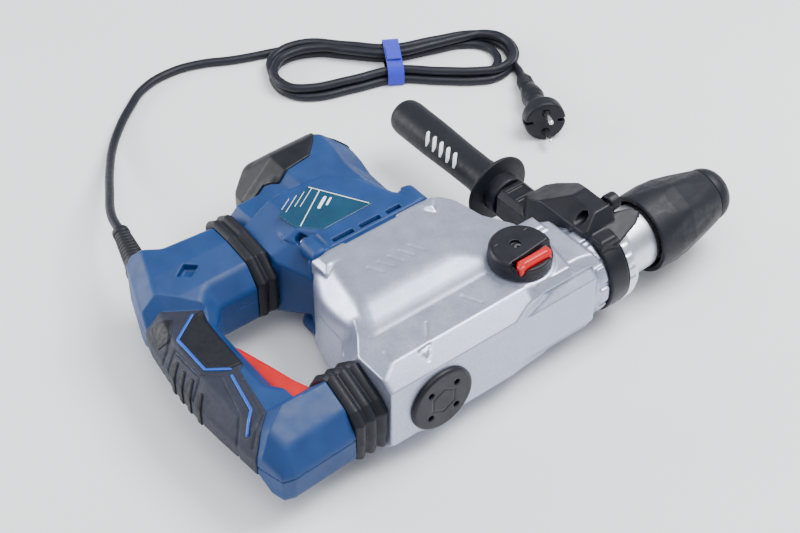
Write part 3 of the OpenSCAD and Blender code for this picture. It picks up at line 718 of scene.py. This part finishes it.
def plateau(outline, top, slope, depth=8, k=1.0):
    """A flat raised area with slanted sides, a few millimetres deep."""
    def shape(x, y, z):
        side = (outline_distance(x, y, outline) + (z - top) * slope) / math.hypot(1, slope)
        return soft_max(soft_max(side, z - top, k), top - depth - z, k)
    return shape


def upper(body, z0, k=0.3):
    """The part of a body above a height."""
    return lambda x, y, z: soft_max(body(x, y, z), z0 - z, k)


def lower(body, z0, k=0.3):
    """The part of a body below a height."""
    return lambda x, y, z: soft_max(body(x, y, z), z - z0, k)


def on_plan(body, outline, k=0.6):
    """The part of a body inside an outline in plan."""
    return lambda x, y, z: soft_max(body(x, y, z), outline_distance(x, y, outline) + 0 * z, k)


# ---------- gear case ----------


def square_case():
    """The two boxes of the casting along the barrel, with the flat places round the selector."""
    rear = prism("x", [(-39.5, -24), (-27, -38), (-14, -43), (30, -43), (44, -30), (44, 30), (30, 42),
                       (10, 44), (-23, 44), (-39.5, 32)], -281, -118, 1.5, 1.2)
    plan = prism("z", [(-283, -40), (-283, 30), (-275, 30), (-261, 46), (-118, 46), (-118, -28),
                       (-148, -34), (-166, -40.5), (-283, -40.5)], -60, 60)
    rear = common(rear, plan, mirrored(facet((-7, 0, 16), (-268, 0, 44))),
                  mirrored(facet((-964, 562, 430), (-262, 29, 44))), facet((121, -192, 247), (-146, -26, 44)))
    front = prism("x", [(-35.5, -20), (-29, -33), (-20, -38), (26, -38), (38, -28), (40, 0), (38, 30),
                        (26, 38), (-19, 38), (-35.5, 24)], -168, -75, 3, 1.2)
    deck = plateau([(-172, 36), (-172, -16), (-111, -20), (-86, -21), (-75, -24), (-76, 24), (-100, 36)],
                   40.2, 0.9)
    raised = common(block(-113, -83, 18, 35, 0, 43.5, 2.5), facet((1, 0, 0.5), (-84, 0, 42)))
    skirt = plateau([(-165, 14), (-166, -9), (-152, -17), (-135, -26), (-100, -26), (-95, 0), (-100, 30),
                     (-150, 30)], 42.5, 0.6)
    return union(rear, front, deck, raised, skirt, k=2.0)


def crank_room():
    """The rounded part of the casting that widens towards the motor."""
    outline = [(-268, 8), (-268, 98), (-121, 98), (-112, 62), (-96, 42), (-98, 20), (-140, 8)]
    crank = mirrored(common(prism("z", outline, -50, 50, 3), facet((0, -6, 25), (0, 35, 50)),
                            facet((0.2, -0.02, 1), (-160, 70, 50)), facet((8, 6, 9), (-116, 78, 46)), k=1.6))
    return common(crank, mirrored(facet((-16.7, 3.2, 15), (-242, 94, 50))),
                  lambda x, y, z: np.sqrt((x + 174) ** 2 + (y - 40) ** 2) - 96 + 0 * z, k=6)


def case_marks():
    """Lines sunk into the casting: an arrow head, three ticks and a row of slanted bars."""
    arrow = [(-245, -25), (-234, -24), (-242, -32), (-245, -25)]
    ticks = [[(-266, -11), (-267, -19)], [(-223, -6), (-232, -18)], [(-185, -1), (-178, -16)]]
    bars = [[(x, 62), (x + 6, 50)] for x in range(-225, -180, 10)]
    return [arrow] + ticks + bars


def gear_case():
    """Die-cast case: barrel housing, crank case, knob boss, collar and motor lugs in one."""
    collar = cylinder("x", (0, 0), 34.5, -80, -32, 0.8)
    band = cylinder("x", (0, 0), 36.8, -72, -63, 0.8)
    seat = cylinder("y", (-236, 0), 31, -41, -30, 1)
    rim = [(36 * math.cos(a), 36 * math.sin(a)) for a in np.radians(np.arange(0, 360, 30) + 15)]
    notches = [rod((-74, y, z), (-61, y, z), 2.6) for y, z in rim]
    boss = cylinder("z", (-126, 1.5), 27.5, 0, 44, 1)
    lugs = mirrored(union(block(-252, -232, 78, 98, 28, 50, 5),
                          prism("z", [(-154, 98), (-134, 98), (-132, 90), (-143, 80), (-152, 86)], 28, 50, 4)))
    step = block(-222, -171, 94, 101, 44.5, 54, 1)
    body = union(square_case(), crank_room(), k=3.0)
    body = union(body, collar, cut(band, *notches), boss, seat, lugs, k=1.4)
    body = engraved(body, case_marks(), 1.3, 0.8)

    def seam(x, y, z):
        split = np.maximum(np.abs(z - 17) - 0.6, x + 236) + 0 * y
        return np.maximum(np.maximum(split, 24 - y), -(body(x, y, z) + 0.8))

    bores = [cylinder("x", (0, 0), r, at, at + run) for at, r, run in
             [(-190, 24, 92), (-188, 27, 14), (-101, 33, 16), (-86, 27.25, 60), (-148, 32.5, 20)]]
    bores += [cylinder("y", (x, 0), r, at, at + run) for x, at, r, run in
              [(-217.5, -30, 32, 51), (-217.5, 20, 20, 16), (-217.5, 30, 12, 40), (-217.5, 60, 34, 60),
               (-236, -60, 22, 40), (-150, 20, 9.6, 40), (-150, 60, 27, 60), (-180, 60, 12, 60)]]
    return cut(body, step, seam, *bores, k=0.6)


# ---------- motor ----------

LABEL = [(-203, 168), (-175, 120), (-224, 119), (-240, 135), (-242, 154)]


def motor_body():
    """Waisted motor shell with a raised label area and the neck towards the handle."""
    at = [99, 107, 125, 150, 175, 195, 214, 231, 250]
    left = [-247, -246, -238, -229, -230, -234, -236.5, -233, -231]
    right = [-126, -127, -133, -137, -135, -130, -127, -131, -134]
    half = [47.5, 47, 45, 44.5, 45, 46.5, 48, 46, 44]
    corner = [14, 16, 22, 25, 27, 29, 31, 33, 33]

    def barrel(x, y, z):
        a, b, h, c = (np.interp(y, at, v) for v in (left, right, half, corner))
        u = np.abs(x - (a + b) / 2) - (b - a) / 2
        v = np.abs(z) - h
        round_ = soft_max(soft_max(u, v, 1.4), (u + v + c) * DIAGONAL, 1.6)
        return soft_max(round_, 99 - y, 1)

    end = common(mirrored(facet((0, 26, 25), (0, 219, 47))),
                 prism("z", [(-262, 96), (-262, 198), (-238, 228), (-208, 245), (-168, 246), (-148, 240),
                             (-127, 217), (-118, 190), (-118, 96)], -60, 60), k=4)
    barrel = common(barrel, end, k=6)
    shoulder = prism("z", [(-263, 131), (-263, 176), (-224, 176), (-224, 101), (-246, 101)], -40, 46, 1)
    shoulder = mirrored(common(shoulder, facet((-0.734, -0.68, 0.9), (-241.5, 134.5, 46.2)),
                               facet((-24, 0, 40), (-254, 0, 35))))
    raised = plateau([(-231, 100), (-229, 121), (-254, 148), (-224, 176), (-203, 172), (-187, 170),
                      (-168, 152), (-156, 120), (-146, 100)], 46.8, 0.9)
    raised = common(raised, facet((-21, 10, 36), (-223, 172, 46)))
    neck = prism("y", cut_corners(33, -264, -205, 12), 130, 199, 2)
    neck = common(neck, facet((-24, 0, 40), (-252, 0, 33)))
    return union(union(barrel, neck, k=9), shoulder, raised, k=1.5)


def motor_shell():
    """The motor's housing with its screw ears, the slots along the casting and the motor's room."""
    ears = [cylinder("y", (x, side * 40), 8, 99, 121, 2) for x in (-240, -143) for side in (-1, 1)]
    holes = [cylinder("y", (x, side * 40), 4.4, 113, 130) for x in (-240, -143) for side in (-1, 1)]
    body = union(motor_body(), *ears, k=2)
    slots = [block(x0, x1, 102.4, 106.6, 38, 60, 1.2) for x0, x1 in ((-226, -206), (-200, -180), (-174, -160))]
    room = cylinder("y", (-180, 0), 39, 90, 210)
    return cut(body, room, *slots, *holes, k=0.6)


BUMPER_PLAN = [(-266, 206), (-248, 206), (-222, 204), (-214, 193), (-181, 197), (-168, 209), (-163, 215),
               (-150, 240), (-146, 262), (-266, 262)]


def bumper():
    """Dark moulded cap over the motor's end, a little proud of the shell."""
    proud = grown(motor_body(), 1.3)
    body = common(proud, on_plan(lambda x, y, z: -60 + 0 * (x + y + z), BUMPER_PLAN))
    wrap = common(proud, prism("x", [(214, -60), (214, 60), (262, 60), (262, -60)], -270, -100))
    body = union(body, common(wrap, facet((-1, 0, 0.9), (-180, 0, -8))), k=0.6)
    return cut(body, grown(motor_body(), -2.4), k=0.3)


# ---------- handle ----------

GRIP_C = [(-296, -34), (-366, -37), (-375, -34), (-381, -10), (-384, 34), (-385, 60), (-383, 92), (-377, 132),
          (-368, 164), (-352, 206), (-345, 212), (-335, 213), (-322, 204), (-268, 199), (-268, 128),
          (-316, 128), (-328, 116), (-329, 93), (-330, 40), (-320, 30), (-310, 28), (-296, 28)]
HANDLE_ENDS = [(-400, -50), (-310, -50), (-310, 60), (-282.2, 60), (-282.2, 230), (-400, 230)]


def handle_body():
    """C-shaped handle: thick at its two ends, slimmer where the hand goes round it."""
    def shape(x, y, z):
        edge = outline_distance(x, y, GRIP_C)
        away = np.minimum(outline_distance(x, y, SKIN_PLAN), np.maximum(50 - y, y - 116))
        roof = np.interp(y, [-40, -26, 2, 13, 116, 143, 168], [13, 20.4, 33, 20.5, 20.5, 29, 33])
        half = np.minimum(20.5, roof) + np.clip(away * 1.1, 0, np.maximum(roof - 20.5, 0))
        under = 20.5 + np.clip(away * 1.1, 0, 12.5)
        chamfer = 13
        v = np.maximum(z - half, -z - under)
        d = soft_max(soft_max(edge, v, 1.6), (edge + v + chamfer) * DIAGONAL, 2.4)
        crest = np.where((x > -331) & (y < 60), (y - 1 + 0.85 * (z - 33)) * 0.76, -20)
        return soft_max(soft_max(d, crest, 0.8), outline_distance(x, y, HANDLE_ENDS), 0.6)
    return shape


# Where the rubber skin and its upper pad lie on the grip, in plan
SKIN_PLAN = [(-402, 152), (-376, 146), (-360, 145), (-343, 133), (-333, 127), (-337, 107), (-338, 95),
             (-341, 62), (-347, 57), (-355, 12), (-378, -9), (-392, -19), (-402, -20)]
PAD_PLAN = [(-344, 125), (-365, 110), (-366, 74), (-352, 63), (-341, 62), (-338, 95), (-337, 107), (-333, 127)]


def handle_shell(name, side, node):
    """Half of the handle: the upper one has two sunk marks, the lower one the screw holes."""
    body = handle_body()
    sink = [prism("z", [(-334, 160), (-323, 167), (-314, 160), (-325, 154)], 26, 60, 1),
            prism("z", [(-352, -22), (-338, -20), (-333, -28), (-345, -30)], 30, 60, 1)]
    screws = [cylinder("z", (x, y), 4.2, -60, -18) for x, y in
              ((-360, -22), (-322, -20), (-362, 180), (-300, 190))]
    body = cut(body, *(sink if side > 0 else screws), k=0.6)
    room = common(grown(body, -3.2), block(-400, -270, -60, 230, -60, 60))
    half = upper(body, 0.15) if side > 0 else lower(body, -0.15)
    low, high = (-1.5, 36) if side > 0 else (-36, 1.5)
    field_piece(name, cut(half, room, k=0.4), (-388, -41, low), (-278, 217, high), 0.9,
                "blue_shell", "rear_handle", [node])


def grip_skin():
    """Soft skin of the grip: grooved moulding, raised pad with its ribs, and two blue lines."""
    base = handle_body()
    skin_ = cut(on_plan(grown(base, 0.9), SKIN_PLAN), grown(base, -1.6), k=0.3)
    grooves = strokes([[(-392, 106), (-376, 112), (-364, 122)],
                       [(-389, 98), (-372, 106), (-373, 71), (-362, 60), (-372, 22), (-383, 10), (-392, -1)],
                       [(-372, 71), (-384, 64)], [(-350, 48), (-359, 12), (-378, -3)]], 1.8)

    def grooved(x, y, z):
        lines = np.maximum(np.maximum(grooves(x, y, z), -base(x, y, z)), 4 - np.abs(z))
        return soft_max(skin_(x, y, z), -lines, 0.3)

    field_piece("grip_skin_moulding", grooved, (-390, -24, -25), (-318, 156, 25), 0.8,
                "grip_skin", "rear_handle", ["grip_overmould"])
    ribs = strokes([[(-391, 87), (-378, 97)], [(-394, 73), (-379, 86)], [(-395, 61), (-379, 75)],
                    [(-394, 48), (-381, 60)]], 4.6)

    def ribbed(x, y, z):
        d = base(x, y, z)
        return soft_max(soft_max(ribs(x, y, z), d - 2.0, 1.2), -(d + 1), 0.3)

    pad = cut(on_plan(grown(base, 1.8), PAD_PLAN), grown(base, -1.0), k=0.3)
    flat = cut(on_plan(grown(base, 1.5), [(-371, 141), (-357, 131), (-371, 117), (-378, 121)]),
               grown(base, -1.0), k=0.3)
    field_piece("grip_pad", union(pad, ribbed, flat, k=0.3), (-392, 44, -26), (-316, 146, 26), 0.8,
                "grip_skin", "rear_handle", material=PAD)
    accents = strokes([[(-343, 126), (-366, 111), (-367, 73), (-352, 62)],
                       [(-355, 56), (-363, 20), (-376, 7)]], 2.4)

    def accent(x, y, z):
        d = base(x, y, z)
        line = soft_max(soft_max(accents(x, y, z), d - 2.1, 0.5), -(d + 1), 0.3)
        return soft_max(line, 3 - np.abs(z), 0.3)

    field_piece("grip_accent", accent, (-382, 2, -26), (-338, 131, 26), 0.7,
                "grip_skin", "rear_handle", material=ACCENT)


def trigger_field():
    """Long red lever along the inside of the grip."""
    outline = [(-329, 93), (-326, 88), (-319, 62), (-312.5, 36), (-307, 22), (-304.5, 14), (-316, 12),
               (-329, 17), (-334, 30), (-336, 93)]

    def shape(x, y, z):
        edge = outline_distance(x, y, outline)
        return soft_max(soft_max(edge, np.abs(z) - 9, 1.5), (edge + np.abs(z) - 9 + 4) * DIAGONAL, 2)
    return shape


def bellows(name, x0, x1, section, ribs, node, body):
    """Ribbed rubber sleeve, open through the middle, drawn in one fixed shape."""
    def ring(x, y, z):
        swell = np.abs(((x - x0) / (x1 - x0) * ribs) % 1 - 0.5) * 2
        grow = 1.6 - 3.0 * swell ** 1.6
        outer = outline_distance(y, z, section) - grow
        return soft_max(soft_max(outer, -(outer + grow + 7.5), 0.4),
                        np.abs(x - (x0 + x1) / 2) - (x1 - x0) / 2, 0.4)

    y0, y1 = min(y for y, _ in section), max(y for y, _ in section)
    piece = field_piece(name, ring, (x0 - 1, y0 - 4, -39), (x1 + 1, y1 + 4, 39), 0.8,
                        "soft_rubber", body, [node])
    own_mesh(piece)


def coil_spring(name, start, radius, wire, length, turns, node, body):
    """Wound spring along the barrel's direction, with an even pitch and closed ends."""
    turn, sides = 24, 8
    steps = turns * turn
    points, faces = [], []
    for i in range(steps + 1):
        a = 2 * math.pi * i / turn
        out = np.array((0, math.cos(a), math.sin(a)))
        centre = np.array(start) + out * radius + (wire + (length - 2 * wire) * i / steps, 0, 0)
        for k in range(sides):
            b = 2 * math.pi * k / sides
            points.append(centre + wire * (math.cos(b) * out - np.array((math.sin(b), 0, 0))))
    for i in range(steps):
        for k in range(sides):
            n = (k + 1) % sides
            faces.append((i * sides + k, i * sides + n, (i + 1) * sides + n, (i + 1) * sides + k))
    faces += [tuple(reversed(range(sides))), tuple(range(steps * sides, (steps + 1) * sides))]
    piece = add_piece(name, mesh_from(name, seated(points), faces), "screw_steel", body, [node] if node else ())
    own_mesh(piece)


def label_panel():
    """Dark label on the motor with plain rules and bars in place of any lettering."""
    top = height_of(motor_body(), -205, 140)
    plate = prism("z", LABEL, top - 1.2, top + 0.5, 0.25, 0.2)
    field_piece("label_plate", plate, (-245, 116, top - 2), (-172, 171, top + 2), 0.45,
                "label", "hammer", ["label_panel"])
    rules = strokes([[(-199, 158), (-236, 133)], [(-204, 166.2), (-178, 121.6)]], 0.8)
    bars = [strokes([[(-201, 148.5), (-212, 141.5)]], 2.6), strokes([[(-198, 145), (-205, 140.6)]], 1.8)]
    fine = []
    for i, share in enumerate((0.62, 0.5, 0.56, 0.36)):
        x, y = -203 - 7.2 * i, 164.5 + 0.24 * i
        fine.append([(x, y - 1), (x - 32 * share, y - 21 * share)])
    print_ = [rules, *bars, strokes(fine, 0.55)]

    def ink(x, y, z):
        d = np.minimum.reduce([part(x, y, z) for part in print_])
        return np.maximum(d, np.abs(z - top - 0.5) - 0.22)

    field_piece("label_print", ink, (-243, 118, top - 0.5), (-174, 170, top + 1.5), 0.3,
                "label", "hammer", material=PRINT)


field_piece("gear_case", gear_case(), (-284, -39, -53), (-29, 102, 53), 1.0,
            "cast_casing", "hammer", ["gear_housing"])
flange = cut(prism("y", cut_corners(44.5, -243, -127, 14), 90, 106, 1), cylinder("y", (-180, 0), 24, 80, 120))
field_piece("flange_plate", flange, (-246, 87, -48), (-124, 109, 48), 1.2,
            "flange", "hammer", ["bearing_plate"])
field_piece("motor_shell", motor_shell(), (-268, 96, -52), (-118, 254, 52), 1.0,
            "blue_shell", "hammer", ["motor_housing"])
field_piece("motor_bumper", bumper(), (-268, 184, -53), (-120, 256, 53), 0.9,
            "dark_plastic", "hammer", ["motor_end_cap"])
label_panel()
handle_shell("handle_shell_upper", 1, "handle_upper_shell")
handle_shell("handle_shell_lower", -1, "handle_lower_shell")
grip_skin()
field_piece("trigger_lever_moulding", trigger_field(), (-339, 10, -11), (-302, 96, 11), 0.6,
            "red_plastic", "trigger_lever", ["trigger"])
bellows("bellows_case_end", -309.9, -280.1,
        [(-33, -24), (-35, -8), (-35, 12), (-27, 20.5), (1, 33.5), (6, 31), (19, 18), (26, 4), (26, -18),
         (12, -33), (-20, -33)], 3, "top_bellows", "hammer")
bellows("bellows_motor_end", -281.9, -262.1,
        [(127, -18), (127, 14), (133, 20), (143, 29.5), (168, 34), (190, 34), (201, 25), (201, -25), (190, -34),
         (143, -34)], 2, "bottom_bellows", "hammer")
coil_spring("damper_spring_case", (-309.8, -4, 0), 9, 1.3, 29.6, 4, "damper_springs", "hammer")
coil_spring("damper_spring_motor", (-281.8, 165, 0), 9, 1.3, 19.6, 3, None, "hammer")
coil_spring("trigger_return_spring", (-349.8, 62, 0), 4, 0.6, 13, 4, "trigger_spring", "rear_handle")
coil_spring("chuck_return_spring", (3.1, 0, 0), 25, 1, 22.6, 3, "chuck_spring", "spindle")

# ---------- selector, caps and chuck ----------


def selector_knob():
    """Turning knob with a raised grip half and a lower ledge round the red button."""
    base = cylinder("z", (-126, 1.5), 25.2, 44.3, 53, 1.6)
    raised = common(cylinder("z", (-126, 1.5), 24.6, 44.3, 60, 2.4), facet((0.1, -1, 0.35), (-126, -7.5, 60)))
    rim = common(cylinder("z", (-126, 1.5), 24.8, 44.3, 56, 0.8), block(-144.5, -107, -25, -5, 44, 60, 1.5))
    pocket = block(-143.2, -108.6, -19.4, -8.6, 51, 64, 1)
    hole = cylinder("z", (-128, 5), 4.2, 57, 64)
    ticks = [rod((a, 12, 60.2), (b, 12, 60.2), 0.6) for a, b in ((-142, -139), (-110, -113))]
    return cut(union(base, raised, rim, k=0.8), pocket, hole, *ticks, k=0.5)


def lock_bar():
    """Long red button with a stepped top."""
    outline = [(-142.6, -18.6), (-112, -18.6), (-109.2, -15), (-109.2, -9.2), (-139, -9.2), (-142.6, -13)]
    bar = prism("z", outline, 50, 58.8, 1.2)
    return union(bar, block(-138, -113, -17, -10.8, 50, 60.4, 1), k=0.8)


def cover_disc():
    """Screwed cover of the crank's grease chamber, with its four key holes."""
    disc = cylinder("y", (-236, 0), 28, -43.6, -30, 1.6)
    keys = [cylinder("y", (-236 + 17 * math.cos(a), 17 * math.sin(a)), 2.6, -47, -40)
            for a in np.radians((45, 135, 225, 315))]
    corners = [(-236 + 11.5 * math.cos(a), -43.8, 11.5 * math.sin(a))
               for a in np.radians((90, 30, -30, -90, -150, 150))]
    lines = [rod(a, b, 0.7) for a, b in zip(corners, corners[1:] + corners[:1])]
    tab = block(-212, -204, -47, -39, -24, -12)
    return cut(disc, *keys, *lines, tab, k=0.4)


def turned(name, profile, slot, body, node, start=(0, 0, 0), along=(1, 0, 0), sides=96, ripple=None, ease=0.5):
    """A turned piece placed in the barrel's frame, from a profile that closes on itself."""
    along, up = np.array(along, dtype=float), np.array((0.0, 0.0, 1.0))
    at = (seated(start), along * MM, np.cross(up, along) * MM, up * MM)
    outline = rounded([*profile, profile[0]], ease, 2)[:-1]
    return add_piece(name, lathe_mesh(name, outline, at, sides, ripple, True), slot, body, [node])


def teeth(distance, angles):
    """24 grooves round the collar ring's thick part."""
    turn = (angles / (2 * math.pi) * 24) % 1
    return -1.1 * (np.abs(turn - 0.5) < 0.16) if -42.4 < distance < -35.8 else 0 * angles


def flutes(distance, angles):
    """Eight long leaf-shaped hollows round the sleeve."""
    if not 6 < distance < 72:
        return 0 * angles
    reach = math.sin(math.pi * (distance - 6) / 66) ** 0.7
    wave = np.abs(((angles / (2 * math.pi) * 8) % 1) - 0.5) * 2
    return -1.1 * reach * np.clip((reach * 0.9 - wave) / 0.5, 0, 1)


def sleeve_profile():
    """Barrel-shaped chuck sleeve: its outside from rear to front, then its bore."""
    outer = [(0, 33.0), (1.2, 33.4), (4, 33.6)]
    outer += [(x, float(np.interp(x, [4, 22, 36, 52, 75], [33.6, 34.3, 33.2, 29.7, 23.6])))
              for x in range(6, 75, 2)]
    return outer + [(75, 23.2), (75, 19.5), (26, 19.5), (26, 29.3), (0, 29.3)]


def clamp_body():
    """Band clamp with its saddle block, the arm to the grip and the shield leaf."""
    band = cylinder("x", (0, 0), 38.4, -62, -43.2, 0.6)
    saddle = common(prism("z", [(-66, -4), (-60, -10), (-38, -10), (-29, 4), (-29, 40), (-34, 60), (-40, 68),
                                (-62, 68), (-67, 58)], -16, 52, 2),
                    facet((0, -1.5, 1), (0, -2, 50)), facet((0, 0.55, 1), (0, 26, 52)),
                    facet((-1, 0, 1.4), (-62, 0, 44)), facet((1.3, 0, 1), (-34, 0, 50)),
                    facet((0, 0.2, -1), (0, 30, -16)))
    arm = prism("y", cut_corners(15, -66, -36, 5), 40, 98, 1.2)
    panels = [prism("y", [(-60, 13.4), (-42, 13.4), (-42, 20), (-60, 20)], at, at + 9, 0) for at in (70, 83)]
    leaf = [(-62, -20), (-46, -24), (-20, -17), (-11, -11), (-17, -5), (-40, 3), (-60, 4)]
    leaf = common(prism("z", leaf, 26, 43, 1.5), facet((0, -0.5, 1), (-40, -8, 41)),
                  facet((0, 0.4, -1), (-30, -8, 34)), facet((-0.16, 0, 1), (-40, 0, 41.5)))
    root = block(-62, -44, -22, 6, 28, 40, 2)
    boss = cylinder("x", (6, 46), 7.5, -32, -22, 0.8)
    body = union(band, saddle, arm, k=1.5)
    body = union(body, root, leaf, boss, k=1.0)
    tools = [cylinder("x", (0, 0), 35, -90, -20), cylinder("x", (6, 46), 4.1, -90, -10),
             cylinder("x", (0, 0), 38.9, -42.9, -13), cylinder("y", (-51, 0), 5.2, 30, 120)]
    return cut(body, *tools, *panels, k=0.5)


def grip_marks():
    """Five plain pale bars printed along the side grip."""
    bars = strokes([[(-65, at), (-60.5, at + 4.5)] for at in range(152, 189, 9)], 3.4)
    tube = cylinder("y", (-51, 0), 16.4, 140, 215)

    def shape(x, y, z):
        return np.maximum(np.maximum(bars(x, y, z), tube(x, y, z)), 4 - z)
    return cut(shape, grown(tube, -1.3), k=0.05)


field_piece("selector_knob", selector_knob(), (-152, -25, 43), (-100, 28, 61), 0.5,
            "dark_plastic", "selector", ["mode_selector"])
field_piece("lock_bar", lock_bar(), (-144, -20, 49), (-107.6, -8, 62), 0.45,
            "red_plastic", "selector_lock", ["lock_button"])
field_piece("cover_disc", cover_disc(), (-265, -45, -29), (-207, -28.5, 29), 0.6,
            "dark_plastic", "hammer", ["grease_cap"])
turned("chuck_grip_sleeve", sleeve_profile(), "soft_rubber", "locking_sleeve", "chuck_sleeve", sides=192,
       ripple=flutes)
turned("chuck_end_cap", [(75.6, 15), (75.6, 23), (80, 22.9), (84, 21.8), (88, 19.4), (90.6, 16.5), (91, 14),
                         (91, 10), (83.2, 10), (83.2, 15)], "soft_rubber", "spindle", "chuck_cap", ease=0.8)
turned("barrel_tube", [(-85, 27.2), (-46, 27.2), (-45, 26.6), (-44, 27.2), (-2.6, 27.2), (-2, 26.6), (-2, 23.6),
                       (-85, 23.6)], "plated_sleeve", "hammer", "barrel_sleeve", ease=0.3)
turned("index_ring", [(-42.6, 38), (-42.2, 38.4), (-36, 38.4), (-35.6, 36.5), (-32, 36.3), (-32, 34.55),
                      (-42.6, 34.55)], "plated_sleeve", "hammer", "collar_ring",
       sides=144, ripple=teeth, ease=0.2)
field_piece("clamp_moulding", clamp_body(), (-70, -42, -42), (-9, 101, 55), 0.8,
            "dark_plastic", "side_handle", ["handle_clamp"])
turned("grip_tube",
       [(98.3, 17), (99.3, 18), (108, 18), (110.5, 17.2), (111, 29.6), (112.6, 30.6), (114.6, 29.8),
        (115.2, 18.5), (120, 17.2), (136, 15.4), (160, 15.5), (195, 16.4), (230, 16.5), (236, 15.6),
        (239.4, 13.4), (240.6, 10), (240.8, 0.5), (128, 0.5), (128, 5), (98.3, 5)],
       "soft_rubber", "side_handle_grip", "side_grip", start=(-51, 0, 0), along=(0, 1, 0), ease=1.2)
field_piece("grip_marks", grip_marks(), (-69, 147, 2), (-54, 198, 19), 0.4,
            "soft_rubber", "side_handle_grip", material=PRINT)

# ---------- finishes of the pieces kept from the source ----------

replaced = {node for piece in bpy.data.objects for node in piece.get("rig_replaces", [])}
for part in frame["record"]["subparts"]:
    node = frame["nodes"].get(part["node"])
    if node is not None and node.type == "MESH" and part["node"] not in replaced:
        node.data.materials.clear()
        node.data.materials.append(FINISH[part["material_slot"]])

# ---------- stage ----------


def add_floor():
    corners = [(-6, -6, 0), (6, -6, 0), (6, 6, 0), (-6, 6, 0)]
    floor = bpy.data.objects.new("floor", mesh_from("floor", corners, [(0, 1, 2, 3)], False))
    bpy.context.collection.objects.link(floor)
    paint = Paint("floor", roughness=0.9)
    floor.data.materials.append(paint.colour(paint.noise(3), (0.84, 0.85, 0.87), (0.88, 0.89, 0.91)).material)


def add_light(name, at, target, size, power, colour=(1, 1, 1)):
    data = bpy.data.lights.new(name, "AREA")
    data.shape = "RECTANGLE"
    data.size, data.size_y = size
    data.energy = power
    data.color = colour
    lamp = bpy.data.objects.new(name, data)
    lamp.location = at
    lamp.rotation_euler = (Vector(target) - Vector(at)).to_track_quat("-Z", "Y").to_euler()
    bpy.context.collection.objects.link(lamp)


add_floor()
add_light("overhead", (0.70, -0.30, 1.35), (0, 0, 0), (0.95, 0.85), 34)
add_light("left", (-1.15, 1.25, 0.55), (-0.05, 0.05, 0), (1.1, 0.7), 26)
add_light("top", (-0.5, -0.4, 1.9), (0, 0, 0), (1.6, 1.6), 26)
world = bpy.data.worlds.new("studio")
world.use_nodes = True
world.node_tree.nodes["Background"].inputs["Color"].default_value = (0.93, 0.95, 1.0, 1)
world.node_tree.nodes["Background"].inputs["Strength"].default_value = 0.6
bpy.context.scene.world = world
